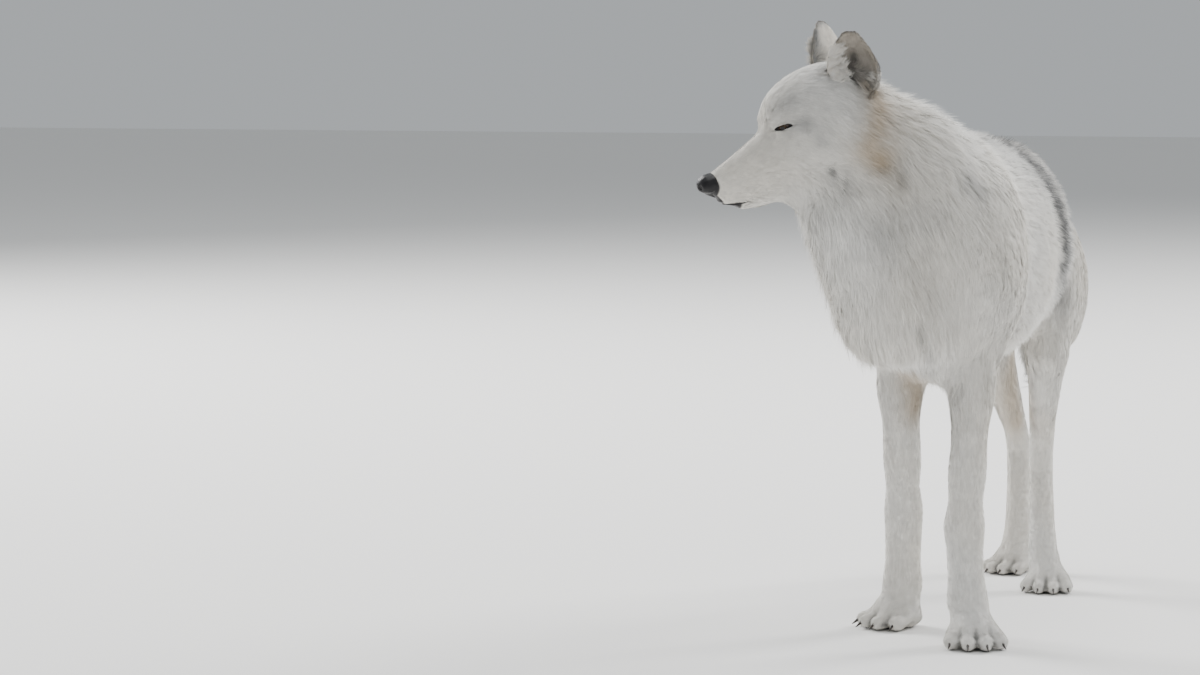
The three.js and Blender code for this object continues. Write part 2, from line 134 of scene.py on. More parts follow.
line("muzzle", 26, onHead(128, 0, -36), onHead(22, 0, -38))
line("brow", 50, onHead(6, 0, -2), onHead(-96, 0, 12))
for side in (1, -1):
    line("cheek", 24, onHead(6, 28 * side, -66), onHead(-44, 50 * side, -60))
    line("cheek", 26, onHead(-30, 44 * side, -22), onHead(-62, 48 * side, -22))
    line("ruff", 30, onHead(-56, 52 * side, -62), onHead(-100, 58 * side, -94))
    line("ruff", 34, onHead(-78, 52 * side, -18), onHead(-116, 58 * side, -42))
    base = pose["earBase"]
    tip = pose["earTip"]
    middle = onHead(base[0] - 14, (base[1] + 14) * side, base[2] + 50)
    line("ear", 26, middle, onHead(tip[0], tip[1] * side, tip[2]))
    line("lid", 9, onHead(7, 34 * side, 7.6), onHead(-24, 53 * side, 6.5))
    line("cheek", 24, onHead(-70, 40 * side, 24), onHead(-112, 48 * side, -6))
line("cheek", 26, onHead(60, 0, -76), onHead(-30, 0, -104))
line("neck", 74, onHead(-104, 0, -26), place(-34, -116, 752), place(0, 30, 680))
line("neck", 66, onHead(-40, 0, -110), place(-80, -190, 640))
line("chest", 74, place(-80, -190, 640), place(-46, -110, 520), place(-10, -30, 430))
line("trunk", 110, place(0, 30, 640), place(0, 320, 620), place(0, 600, 630))
line("thigh", 60, place(64, -10, 660), place(60, -10, 500), place(56, -12, 410))
line("thigh", 60, place(-64, 4, 660), place(-68, 16, 500), place(-74, 36, 410))
line("leg", 27, place(53, -12, 396), place(50, -46, 176), place(61, -66, 60), place(66, -74, 40))
line("leg", 27, place(-76, 42, 396), place(-77, 74, 176), place(-80, 80, 60), place(-82, 80, 40))
line("thigh", 60, place(56, 600, 640), place(62, 560, 440))
line("thigh", 60, place(-54, 620, 640), place(-64, 660, 440))
line("thigh", 40, place(58, 550, 420), place(46, 588, 330))
line("thigh", 40, place(-62, 690, 420), place(-58, 760, 330))
line("leg", 23, place(44, 588, 330), place(30, 640, 232), place(49, 574, 54), place(54, 564, 38))
line("leg", 23, place(-58, 764, 330), place(-52, 846, 228), place(-40, 782, 54), place(-42, 776, 38))
tailLine = ((0, 700, 680), (0, 758, 620), (-8, 808, 500), (-18, 842, 380), (-20, 850, 304))
line("tail", 30, *(place(*spot) for spot in tailLine))

paws = {
    "frontLeft": {"foot": (76, -86), "turn": 18, "scale": 1.0},
    "frontRight": {"foot": (-88, 74), "turn": -34, "scale": 1.0},
    "hindLeft": {"foot": (62, 552), "turn": 8, "scale": 0.9},
    "hindRight": {"foot": (-44, 762), "turn": -24, "scale": 0.9},
}
toes = ((35, 44, 15), (13, 61, 5), (-13, 61, -5), (-35, 44, -15))  # across, reach and splay


def onPaw(paw, x, y, z):  # the paw's own millimetres, with its toes towards -y
    turn = math.radians(paw["turn"])
    s = paw["scale"]
    px = (x * math.cos(turn) - y * math.sin(turn)) * s
    py = (x * math.sin(turn) + y * math.cos(turn)) * s
    return place(paw["foot"][0] + px, paw["foot"][1] + py, z * s)


def toPaw(paw, points):
    turn = math.radians(paw["turn"])
    q = (points - place(paw["foot"][0], paw["foot"][1], 0)) * 1000 / paw["scale"]
    x = q[:, 0] * math.cos(turn) + q[:, 1] * math.sin(turn)
    y = -q[:, 0] * math.sin(turn) + q[:, 1] * math.cos(turn)
    return np.stack([x, y, q[:, 2]], -1)


for paw in paws.values():
    for across, reach, splay in toes:
        spread = math.tan(math.radians(splay)) * 34
        line(
            "paw",
            14,
            onPaw(paw, across * 0.8, -reach + 70, 30),
            onPaw(paw, across * 0.86, -reach + 34, 27),
            onPaw(paw, across * 0.86 + spread, -reach + 4, 14),
        )

lineKind, lineStart, lineEnd, lineRadius = (np.array(column) for column in zip(*lines))
blendWidths = {"lid": 0.003, "muzzle": 0.011, "brow": 0.011, "ear": 0.008, "paw": 0.011, "leg": 0.011}


def coatAt(points):
    # Weighs every line by how near it is, and gives each kind's share and the lie of the hair.
    along = lineEnd - lineStart
    length2 = (along**2).sum(1)
    shares = np.zeros((len(points), len(kindNames)))
    lie = np.zeros((len(points), 3))
    best = np.full(len(points), 1e9)
    gaps = np.empty((len(points), len(lines)), np.float32)
    for i in range(len(lines)):
        t = np.clip(((points - lineStart[i]) @ along[i]) / length2[i], 0, 1)
        gap = np.linalg.norm(points - lineStart[i] - t[:, None] * along[i], axis=1) - lineRadius[i]
        gaps[:, i] = gap
        best = np.minimum(best, gap)
    for i, kind in enumerate(lineKind):
        soft = blendWidths.get(kindNames[kind], 0.020)
        weight = np.exp(-np.clip((gaps[:, i] - best) / soft, 0, 30))
        shares[:, kind] += weight
        lie += weight[:, None] * unit(along[i])
    shares /= shares.sum(1, keepdims=True)
    lie = unit(lie)
    lie[:, 2] -= blended(shares, "droop")
    return shares, unit(lie)


def shareOf(shares, *kinds):  # the share that the named kinds have together
    return shares[:, [kindNames.index(kind) for kind in kinds]].sum(1)


def blended(shares, key):
    return shares @ np.array([coatKinds[k][key] for k in kindNames])


def pointsOf(mesh):
    points = np.empty(len(mesh.vertices) * 3)
    mesh.vertices.foreach_get("co", points)
    return points.reshape(-1, 3)


def setPoints(mesh, points):
    mesh.vertices.foreach_set("co", points.astype(np.float32).ravel())
    mesh.update()


def normalsOf(mesh):
    normals = np.empty(len(mesh.vertices) * 3, np.float32)
    mesh.vertex_normals.foreach_get("vector", normals)
    return normals.reshape(-1, 3).astype(float)


def neighboursOf(mesh):  # the edges, and how many of them meet at each point
    edges = np.empty(len(mesh.edges) * 2, np.int32)
    mesh.edges.foreach_get("vertices", edges)
    count = np.maximum(np.bincount(edges, minlength=len(mesh.vertices)), 1)
    return edges.reshape(-1, 2), count


def neighbourMean(values, edges, count):
    total = np.empty_like(values)
    for axis in range(values.shape[1]):
        total[:, axis] = np.bincount(edges[:, 0], values[edges[:, 1], axis], len(values))
        total[:, axis] += np.bincount(edges[:, 1], values[edges[:, 0], axis], len(values))
    return total / count[:, None]


def smoothed(values, mesh, rounds, weight):
    edges, count = neighboursOf(mesh)
    for i in range(rounds):
        values = values + weight * (neighbourMean(values, edges, count) - values)
    return values


def relax(mesh, rounds, weight=1.0):
    # Smooths in and then back out by a little more, so that the form keeps its size.
    points = pointsOf(mesh)
    edges, count = neighboursOf(mesh)
    for i in range(rounds):
        for factor in (0.5, -0.5 * 1.03):
            points = points + factor * weight * (neighbourMean(points, edges, count) - points)
    setPoints(mesh, points)


def applyModifiers(obj):
    graph = bpy.context.evaluated_depsgraph_get()
    finished = bpy.data.meshes.new_from_object(obj.evaluated_get(graph))
    obj.modifiers.clear()
    old = obj.data
    obj.data = finished
    bpy.data.meshes.remove(old)


def addObject(name, mesh):
    mesh.name = name
    obj = bpy.data.objects.new(name, mesh)
    bpy.context.collection.objects.link(obj)
    return obj


def meshFrom(name, shape):
    mesh = bpy.data.meshes.new(name)
    shape.to_mesh(mesh)
    shape.free()
    return mesh


def newMaterial(name, values=None):
    material = bpy.data.materials.new(name)
    material.use_nodes = True
    tree = material.node_tree
    shader = tree.nodes["Principled BSDF"]
    for entry, value in (values or {}).items():
        shader.inputs[entry].default_value = value
    return material, tree, shader


def addNode(tree, kind, values=None):
    made = tree.nodes.new("ShaderNode" + kind)
    for entry, value in (values or {}).items():
        made.inputs[entry].default_value = value
    return made


def wire(tree, *steps):  # a step is a node and its output, then the node and the input it feeds
    for source, output, target, entry in steps:
        tree.links.new(source.outputs[output], target.inputs[entry])


skinPlan = {
    "firstVoxel": 0.0044,
    "voxel": 0.0033,
    "relaxRounds": 14,
    "depthRounds": 60,
    "sinkSteps": 4,
    "foreleg": 0.0035,  # the forelegs' flesh lies this much nearer to the tips of their hair
    "earRounds": 8,
    "evenRounds": 40,
    "rimRounds": 16,
    "ironRounds": 90,
    "bodyShare": 0.33,  # how much of the trunk's mesh is kept
}
fleshNodes = ["trunk", "neck", "tail", "head", "left_ear", "right_ear"]
for corner in ("front_left", "front_right", "hind_left", "hind_right"):
    fleshNodes += [f"{corner}_leg", f"{corner}_paw"]


def gather(name, parts):
    gathered = bmesh.new()
    for part in parts:
        gathered.from_mesh(nodes[part].data)
    bmesh.ops.remove_doubles(gathered, verts=gathered.verts, dist=1e-5)
    return addObject(name, meshFrom(name, gathered))


def wrapWith(obj, voxel):
    wrap = obj.modifiers.new("wrap", "REMESH")
    wrap.mode = "VOXEL"
    wrap.voxel_size = voxel
    applyModifiers(obj)


def keepLargest(mesh):
    shell = bmesh.new()
    shell.from_mesh(mesh)
    left = set(shell.verts)
    parts = []
    while left:
        seed = left.pop()
        part = [seed]
        front = [seed]
        while front:
            vert = front.pop()
            for edge in vert.link_edges:
                other = edge.other_vert(vert)
                if other in left:
                    left.remove(other)
                    part.append(other)
                    front.append(other)
        parts.append(part)
    parts.sort(key=len)
    for part in parts[:-1]:
        bmesh.ops.delete(shell, geom=part, context="VERTS")
    print("skin parts", len(parts))
    shell.to_mesh(mesh)
    shell.free()


def sinkUnderCoat(mesh):
    # Draws the outline of the coat in to the skin, a part of the coat's depth at a time.
    points = pointsOf(mesh)
    shares = coatAt(points)[0]
    shares[:, kindNames.index("ear")] *= 0.001  # the ears aren't on it yet
    shares /= shares.sum(1, keepdims=True)
    depth = blended(shares, "depth") / 1000
    foreleg = smoothStep(0.34, 0.26, points[:, 1] - wolfOrigin[1]) * shareOf(shares, "leg")
    depth -= skinPlan["foreleg"] * foreleg
    sole = points[:, 2] < 0.007
    keep = 0.5 * (1 - shareOf(shares, "muzzle", "lid", "paw", "leg"))
    depth = smoothed(depth[:, None], mesh, skinPlan["depthRounds"], keep[:, None])[:, 0]
    deep = smoothStep(0.003, 0.011, depth)[:, None]
    for step in range(skinPlan["sinkSteps"]):
        normals = normalsOf(mesh)
        inward = -normals * (depth / skinPlan["sinkSteps"])[:, None]
        inward[sole & (normals[:, 2] < 0)] *= (1, 1, 0)
        points = smoothed(points + inward, mesh, 1, 0.5 * deep)
        setPoints(mesh, points)


earPlan = {
    "reach": (-26, -10, 4, 26, 50, 72, 88, 98, 103),  # up to the tip, in millimetres
    "halfWidth": (10, 26, 37, 43, 40, 30, 20, 13, 7),
    "cup": (6, 15, 21, 21, 17, 12, 8, 5, 3),
    "curl": 1.12,
    "wall": 5.0,
}


def earAxes(side):
    base = np.array(pose["earBase"]) * (1, side, 1)
    tip = np.array(pose["earTip"]) * (1, side, 1)
    up = unit(tip - base)
    inner = np.array((0.78, -0.62 * side, 0.1))  # towards the front edge
    inner = unit(inner - up * (inner @ up))
    opening = np.cross(up, inner) * side
    return base, up, inner, opening


def earPlace(side, reach, around, depth=0.0):
    # A place on the ear's back, from -1 at its outer edge to 1 at its front edge, or inside it.
    base, up, inner, opening = earAxes(side)
    half = np.interp(reach, earPlan["reach"], earPlan["halfWidth"]) - depth
    cup = np.interp(reach, earPlan["reach"], earPlan["cup"]) - depth
    turn = around * math.pi / 2 * earPlan["curl"]
    across = half * np.sin(turn)
    back = cup * np.cos(turn)
    spot = base + up * reach[:, None] + inner * across[:, None] - opening * back[:, None]
    return headOrigin + (spot / 1000) @ headAxes.T


def addEars(mesh):
    whole = bmesh.new()
    whole.from_mesh(mesh)
    for side in (1, -1):
        ear = bmesh.new()
        bmesh.ops.create_grid(ear, x_segments=20, y_segments=30, size=1)
        flat = np.array([v.co for v in ear.verts])
        rise = (flat[:, 1] + 1) / 2
        reach = -26 + rise * 129 + 40 * np.clip(-flat[:, 0], 0, 1) ** 1.5 * (1 - rise)
        spots = earPlace(side, reach, flat[:, 0])
        spotsInside = earPlace(side, np.minimum(reach, 99), flat[:, 0] * 0.96, earPlan["wall"])
        for vert, spot in zip(ear.verts, spots):
            vert.co = spot
        outer = list(ear.verts)
        match = bmesh.ops.duplicate(ear, geom=ear.verts[:] + ear.edges[:] + ear.faces[:])["vert_map"]
        for vert, spot in zip(outer, spotsInside):
            match[vert].co = spot
        rims = [e for e in ear.edges if e.is_boundary]
        bmesh.ops.bridge_loops(ear, edges=rims)
        bmesh.ops.recalc_face_normals(ear, faces=ear.faces)
        piece = meshFrom("earShell", ear)
        whole.from_mesh(piece)
        bpy.data.meshes.remove(piece)
    whole.to_mesh(mesh)
    whole.free()


def evenOut(mesh, rounds):
    # Irons out small lumps under the deep coat, and evens the slim legs without thinning them.
    points = pointsOf(mesh)
    deep = shareOf(coatAt(points)[0], "neck", "chest", "trunk", "tail", "ruff")
    points = smoothed(points, mesh, rounds, (0.5 * smoothStep(0.55, 0.95, deep))[:, None])
    setPoints(mesh, points)
    slim = shareOf(coatAt(points)[0], "leg", "thigh")
    relax(mesh, rounds, smoothStep(0.5, 1.0, slim)[:, None])


# Single places where the parts of the flesh meet: the middle, then in millimetres the size and how
# far it's pressed in.
ironed = {
    "cheekTopLeft": (onHead(-104, 78, -8), 36, 7),
    "cheekTopRight": (onHead(-104, -78, -8), 36, 7),
    "chestFoot": (place(-30, -100, 430), 80, 0),
    "throat": (onHead(-30, 0, -112), 34, 0),
    "chin": (onHead(112, 0, -77), 13, 0),
}


def ironOut(mesh, rounds):
    points = pointsOf(mesh)
    normals = normalsOf(mesh)
    weight = np.zeros(len(points))
    for middle, size, press in ironed.values():
        away = np.linalg.norm(points - middle, axis=1) * 1000
        weight = np.maximum(weight, smoothStep(size * 1.3, size * 0.6, away))
        points = points - normals * (press / 1000 * smoothStep(size, size * 0.2, away))[:, None]
    setPoints(mesh, smoothed(points, mesh, rounds, (0.5 * weight)[:, None]))


def smoothRims(mesh, rounds):
    points = pointsOf(mesh)
    weight = 0.5 * shareOf(coatAt(points)[0], "ear")[:, None]
    setPoints(mesh, smoothed(points, mesh, rounds, weight))


envelope = gather("envelope", fleshNodes + ["nose", "left_eye", "right_eye"])
wrapWith(envelope, skinPlan["firstVoxel"])
envelopeFaces = [tuple(p.vertices) for p in envelope.data.polygons]
envelopeTree = BVHTree.FromPolygons(pointsOf(envelope.data).tolist(), envelopeFaces)
bpy.data.objects.remove(envelope)
print("coat's outline measured")

skin = gather("skin", [n for n in fleshNodes if "ear" not in n] + ["nose", "left_eye", "right_eye"])
wrapWith(skin, skinPlan["firstVoxel"])
keepLargest(skin.data)
relax(skin.data, skinPlan["relaxRounds"])
sinkUnderCoat(skin.data)
print("skin sunk under the coat", len(skin.data.vertices))
addEars(skin.data)
wrapWith(skin, skinPlan["voxel"])
keepLargest(skin.data)
relax(skin.data, skinPlan["earRounds"])
evenOut(skin.data, skinPlan["evenRounds"])
smoothRims(skin.data, skinPlan["rimRounds"])
ironOut(skin.data, skinPlan["ironRounds"])
print("ears joined", len(skin.data.vertices))


def thinOut(obj):
    coarse = shareOf(coatAt(pointsOf(obj.data))[0], "neck", "chest", "trunk", "thigh", "tail")
    group = obj.vertex_groups.new(name="coarse")
    group.add(np.nonzero(coarse > 0.6)[0].tolist(), 1.0, "ADD")
    thinner = obj.modifiers.new("thinner", "DECIMATE")
    thinner.vertex_group = "coarse"
    thinner.ratio = skinPlan["bodyShare"]
    applyModifiers(obj)
    obj.vertex_groups.clear()


thinOut(skin)
print("skin thinned", len(skin.data.vertices), len(skin.data.polygons))


def refine(mesh, chosen):
    # Splits the edges between chosen points in two, and the faces with them.
    fine = bmesh.new()
    fine.from_mesh(mesh)
    fine.verts.ensure_lookup_table()
    keep = [e for e in fine.edges if chosen[e.verts[0].index] and chosen[e.verts[1].index]]
    bmesh.ops.subdivide_edges(fine, edges=keep, cuts=1, use_grid_fill=True, smooth=0.4)
    fine.to_mesh(mesh)
    fine.free()


eyeSlit = {
    "inner": (3.9, 35.5, 7.6),
    "outer": (-21.0, 52.5, 6.4),
    "arch": 1.1,
    "openUp": 3.1,
    "openDown": 2.1,
    "sink": 2.5,
    "lidThick": 1.5,
    "setBack": 2.4,
}
mouthLine = ((127, 0, -55), (116, 11, -62), (101, 17, -68), (80, 21, -72), (54, 26, -75), (36, 31, -74))


def eyeCentre(side):
    return np.array((pose["eyePlace"][0], pose["eyePlace"][1] * side, pose["eyePlace"][2]))


def ballCentre(side):  # the eyeball lies a little behind the lids' place
    return eyeCentre(side) - np.array((0.3, 0.5 * side, 0)) * eyeSlit["setBack"]


def slitLine(side):  # the inner corner, and the way to the outer one
    inner = np.array(eyeSlit["inner"]) * (1, side, 1)
    return inner, np.array(eyeSlit["outer"]) * (1, side, 1) - inner


def slitPlace(h, side):
    # How far along the opening a point lies, from 0 at the inner corner, and how far above it.
    inner, along = slitLine(side)
    t = ((h - inner) @ along) / (along @ along)
    arch = eyeSlit["arch"] * np.sin(np.clip(t, 0, 1) * math.pi)
    return t, h[:, 2] - (inner[2] + t * along[2] + arch)


def nearLine(h, points, side=1):
    best = np.full(len(h), 1e9)
    above = np.zeros(len(h))
    share = np.zeros(len(h))
    count = len(points) - 1
    for i in range(count):
        a = np.array(points[i]) * (1, side, 1)
        b = np.array(points[i + 1]) * (1, side, 1)
        t = np.clip(((h - a) @ (b - a)) / ((b - a) @ (b - a)), 0, 1)
        gap = (h - a - t[:, None] * (b - a)) * (1, 0.4, 1)
        distance = np.linalg.norm(gap, axis=1)
        closer = distance < best
        best = np.where(closer, distance, best)
        above = np.where(closer, gap[:, 2], above)
        share = np.where(closer, (i + t) / count, share)
    return best, above, share


def refineHead(mesh):
    h = toHead(pointsOf(mesh))
    refine(mesh, (h[:, 0] > -46) & (np.abs(h[:, 1]) < 66) & (h[:, 2] > -96) & (h[:, 2] < 46))
    h = toHead(pointsOf(mesh))
    chosen = np.zeros(len(h), bool)
    for side in (1, -1):
        gap = nearLine(h, mouthLine, side)[0]
        chosen |= (gap < 6) | (np.linalg.norm(h - eyeCentre(side), axis=1) < 21)
    refine(mesh, chosen)
    h = toHead(pointsOf(mesh))
    chosen = np.zeros(len(h), bool)
    for side in (1, -1):
        t, up = slitPlace(h, side)
        near = np.linalg.norm(h - eyeCentre(side), axis=1) < 24
        chosen |= near & (t > -0.1) & (t < 1.1) & (np.abs(up) < 6.5)
    refine(mesh, chosen)


refineHead(skin.data)

# Soft swellings and hollows of the head: centre, size and height, all in its own millimetres.
headForms = {
    "browRidge": {"at": (0, 27, 22), "size": (16, 11, 7), "rise": 2.2},
    "socket": {"at": (8, 31, 4), "size": (9, 8, 8), "rise": -2.2},
    "underEye": {"at": (-8, 45, -8), "size": (16, 10, 6), "rise": -1.2},
    "cheekBone": {"at": (-34, 58, -12), "size": (26, 12, 9), "rise": 2.2},
    "temple": {"at": (-44, 48, 26), "size": (22, 14, 12), "rise": -1.6},
    "tearLine": {"at": (32, 27, -10), "size": (24, 7, 7), "rise": -1.8},
    "whiskerPad": {"at": (98, 17, -44), "size": (18, 8, 10), "rise": 1.8},
    "upperLip": {"at": (76, 23, -60), "size": (34, 8, 6), "rise": 1.6},
    "bridge": {"at": (60, 0, -2), "size": (46, 7, 8), "rise": 1.0},
    "forehead": {"at": (2, 0, 34), "size": (18, 6, 14), "rise": -1.4},
    "lowerLip": {"at": (90, 14, -74), "size": (30, 7, 4), "rise": -1.0},
    "jawFront": {"at": (70, 0, -88), "size": (27, 16, 12), "rise": 7.0},
    "jawRear": {"at": (36, 0, -96), "size": (24, 19, 14), "rise": 6.0},
}


def sculptHead(mesh):
    points = pointsOf(mesh)
    normals = normalsOf(mesh)
    h = toHead(points)
    rise = np.zeros(len(h))
    for form in headForms.values():
        for side in (1, -1):
            if side < 0 and form["at"][1] == 0:
                continue
            q = (h - np.array(form["at"]) * (1, side, 1)) / np.array(form["size"])
            rise += form["rise"] * np.exp(-(q**2).sum(1))
    for side in (1, -1):
        gap, above, share = nearLine(h, mouthLine, side)
        fade = smoothStep(1.02, 0.86, share)
        rise -= 2.6 * np.exp(-((gap / 1.7) ** 2)) * fade
        rise += 0.9 * np.exp(-(((above - 3.5) / 2.6) ** 2)) * (gap < 9) * fade * (above > 0)
    points = points + normals * rise[:, None] / 1000
    setPoints(mesh, points)
    wrapLids(mesh)


def lidShape(h, side):
    # One inside the opening between the lids, falling to nought on the lids, and the gap to its edge.
    t, up = slitPlace(h, side)
    width = np.sin(np.clip(t, 0, 1) * math.pi) ** 0.55
    limit = np.where(up > 0, eyeSlit["openUp"], eyeSlit["openDown"]) * width
    past = np.abs(up) - limit
    past = np.where((t < 0) | (t > 1), 3.0, past)
    return smoothStep(0.35, -0.45, past), past, t


def wrapLids(mesh):
    # Lays the lids over the eyeballs, and sinks the skin behind the openings.
    h = toHead(pointsOf(mesh))
    for side in (1, -1):
        middle = ballCentre(side)
        ray = h - middle
        distance = np.linalg.norm(ray, axis=1)
        inside, past = lidShape(h, side)[:2]
        along = slitLine(side)[1]
        outward = unit(np.array((-along[1], along[0], 0.0)) * -side)
        near = (distance < 26) & (ray @ outward > 0)
        rim = eyeSlit["lidThick"] * np.exp(-((past / 2.6) ** 2)) + 0.7
        lid = np.maximum(distance, pose["eyeRadius"] + rim)
        wanted = lid * (1 - inside) + (pose["eyeRadius"] - eyeSlit["sink"]) * inside
        corner = inside * smoothStep(14.5, 17.0, distance)
        wanted = wanted * (1 - corner) + (distance - 2.2) * corner
        h = np.where(near[:, None], middle + ray * (wanted / np.maximum(distance, 1e-6))[:, None], h)
    setPoints(mesh, headOrigin + (h / 1000) @ headAxes.T)


toePlan = {
    "gaps": (((22, -22, 24), (28, -50, 8)), ((0, -26, 28), (0, -62, 8)), ((-22, -22, 24), (-28, -50, 8))),
    "wide": 3.4,
    "deep": 0.0035,
}


def betweenToes(points):
    # One in the clefts between the toes, falling to nought on the toes.
    near = np.zeros(len(points))
    squeeze = np.array((1, 0.45, 0.45))
    for paw in paws.values():
        q = toPaw(paw, points) * squeeze
        for start, end in toePlan["gaps"]:
            a = np.array(start) * squeeze
            b = np.array(end) * squeeze
            t = np.clip(((q - a) @ (b - a)) / ((b - a) @ (b - a)), 0, 1)
            away = np.linalg.norm(q - a - t[:, None] * (b - a), axis=1)
            near = np.maximum(near, np.exp(-((away / toePlan["wide"]) ** 2)))
    return near


def partToes(mesh):
    points = pointsOf(mesh)
    cleft = betweenToes(points) * smoothStep(0.003, 0.008, points[:, 2])
    setPoints(mesh, points - normalsOf(mesh) * (toePlan["deep"] * cleft)[:, None])


sculptHead(skin.data)
partToes(skin.data)
skin.data.shade_smooth()
print("head sculpted", len(skin.data.vertices))
triangleCount = sum(len(p.vertices) - 2 for p in skin.data.polygons)
print("skin triangles", triangleCount)

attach(skin, "root")
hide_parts(*fleshNodes)

shades = {
    "white": (0.81, 0.80, 0.77),
    "tan": (0.50, 0.40, 0.28),
    "cream": (0.73, 0.66, 0.56),
    "grey": (0.34, 0.34, 0.335),
    "dark": (0.09, 0.09, 0.09),
    "black": (0.012, 0.011, 0.012),
}


def band(shade, strength, size, tipped, *path):
    # A coat marking, or a band of painted shade, along a line of places on the coat, as wide as its size
    # in millimetres. A tipped one is strongest at the hairs' outer ends.
    return {"shade": shade, "strength": strength, "size": size, "tipped": tipped, "path": path}


# Coat markings, with bands of painted shade and painted shadow among them where the coat folds and
# clumps.
markingsAndPaintedShade = {
    "cape": band("dark", 1.0, 66, True, place(10, 285, 790), place(6, 420, 775), place(4, 600, 755)),
    "capeLeft": band(
        "dark", 1.0, 62, True,
        place(50, 330, 765), place(88, 378, 725), place(114, 370, 672), place(120, 400, 600),
    ),
    # Partly the saddle's dark-tipped hair, partly painted shadow in the fold between the flank and the
    # haunch.
    "capeLeftLowAndFoldShadow": band(
        "dark", 0.6, 30, True,
        place(120, 400, 600), place(118, 430, 550), place(93, 490, 500),
    ),
    "capeRight": band(
        "dark", 0.9, 52, True,
        place(-50, 330, 765), place(-92, 378, 715), place(-118, 390, 620),
    ),
    "capeSpreadLeft": band(
        "grey", 0.75, 90, True,
        place(80, 300, 740), place(90, 460, 700), place(70, 600, 700),
    ),
    "capeSpreadRight": band(
        "grey", 0.75, 90, True,
        place(-80, 300, 740), place(-90, 460, 700), place(-70, 600, 700),
    ),
    "withers": band("grey", 0.5, 40, True, place(6, 60, 802), place(30, 200, 785)),
    "rump": band("grey", 0.6, 60, True, place(30, 560, 760), place(10, 660, 730)),
    "tailTop": band("dark", 0.5, 30, True, place(0, 770, 640), place(-6, 850, 540)),
    "tailTip": band("dark", 0.55, 34, True, place(-18, 842, 370), place(-20, 850, 310)),
    "shoulder": band("grey", 0.55, 20, False, place(78, -132, 723), place(92, -100, 707)),
    # Painted shade under the neck, where the ruff overhangs the chest.
    "ruffPaintedShade": band(
        "grey", 0.42, 38, False,
        place(-30, -244, 650), place(0, -212, 658), place(27, -194, 671),
    ),
    # Painted shadow along the break in the breast fur, where the tufts part.
    "breastBreakShadow": band(
        "dark", 0.45, 7, False,
        place(4, -166, 490), place(8, -142, 464), place(6, -90, 440),
    ),
    "ruffMark": band("dark", 0.7, 9, False, place(-34, -246, 758), place(-31, -243, 746)),
    "ruffMarkLow": band("dark", 0.6, 9, False, place(-5, -230, 734), place(-3, -228, 722)),
    "behindEar": band(
        "tan", 0.95, 25, False,
        place(-45, -228, 858), place(-38, -252, 813), place(-50, -262, 780), place(-34, -246, 762),
    ),
    "behindEarFar": band(
        "tan", 0.8, 21, False,
        onHead(-152, -57, -21), onHead(-129, -82, -54), onHead(-106, -91, -53),
    ),
    "thighInner": band(
        "tan", 0.65, 30, False,
        place(-37, 690, 380), place(-40, 732, 311), place(-39, 780, 268),
    ),
    "thighInnerLeft": band("tan", 0.5, 26, False, place(24, 530, 400), place(28, 580, 300)),
    "foreInner": band(
        "tan", 0.75, 26, False,
        place(-42, -30, 416), place(-42, 22, 383), place(-47, 28, 359),
    ),
}
for side in (1, -1):
    suffix = "Left" if side > 0 else "Right"
    markingsAndPaintedShade["forehead" + suffix] = band(
        "grey", 0.42, 15, False,
        onHead(-26, 38 * side, 38), onHead(-46, 44 * side, 36),
    )
    markingsAndPaintedShade["eyeLine" + suffix] = band(
        "grey", 0.5, 9, False,
        onHead(-22, 54 * side, 6), onHead(-48, 68 * side, 2),
    )
    markingsAndPaintedShade["cheekLine" + suffix] = band(
        "grey", 0.4, 10, False,
        onHead(-40, 66 * side, -8), onHead(-54, 78 * side, -42),
    )
    # Painted shadow under a clump of the cheek ruff.
    markingsAndPaintedShade["cheekSpot" + suffix] = band(
        "dark", 0.95, 6, False,
        onHead(-46, 73 * side, -86), onHead(-43, 73 * side, -97),
    )
    markingsAndPaintedShade["earSpot" + suffix] = band(
        "grey", 0.5, 7, False,
        onHead(-99, 42 * side, 45), onHead(-104, 43 * side, 47),
    )


def nearPath(points, path):
    best = np.full(len(points), 1e9)
    for a, b in zip(path, path[1:]):
        t = np.clip(((points - a) @ (b - a)) / ((b - a) @ (b - a)), 0, 1)
        best = np.minimum(best, np.linalg.norm(points - a - t[:, None] * (b - a), axis=1))
    return best * 1000


def mix(colour, shade, amount):
    amount = np.clip(amount, 0, 1)[:, None]
    return colour * (1 - amount) + np.array(shades[shade]) * amount


# Bare leather at the end of the muzzle, in the head's millimetres, and where its edge fades.
leatherSpots = {
    "nose": {"at": (123, 0, -27), "size": (21, 20, 17), "fade": (1.10, 0.98)},
    "lip": {"at": (121, 0, -48), "size": (15, 13, 17), "fade": (1.1, 0.85)},
    "chin": {"at": (108, 0, -70), "size": (20, 19, 12), "fade": (1.12, 0.86)},
}


def leatherAt(points):
    # How bare and black the skin is: at the nose, the lips, the lids and the pads of the feet.
    h = toHead(points)
    black = smoothStep(0.0035, 0.0015, points[:, 2])
    for spot in leatherSpots.values():
        away = np.linalg.norm((h - spot["at"]) / spot["size"], axis=1)
        black = np.maximum(black, smoothStep(*spot["fade"], away))
    for side in (1, -1):
        gap, above, share = nearLine(h, mouthLine, side)
        reach = np.where(above > 0, 2.2, 6.5 - 3.5 * share)
        fade = smoothStep(1.02, 0.85, share)
        black = np.maximum(black, smoothStep(1.35, 0.75, gap / reach) * fade)
        past, t = lidShape(h, side)[1:]
        near = np.linalg.norm(h - eyeCentre(side), axis=1) < 24
        rim = smoothStep(2.3, 1.2, past) * smoothStep(-0.12, 0.0, t) * smoothStep(1.2, 1.02, t)
        black = np.maximum(black, rim * near)
    return black


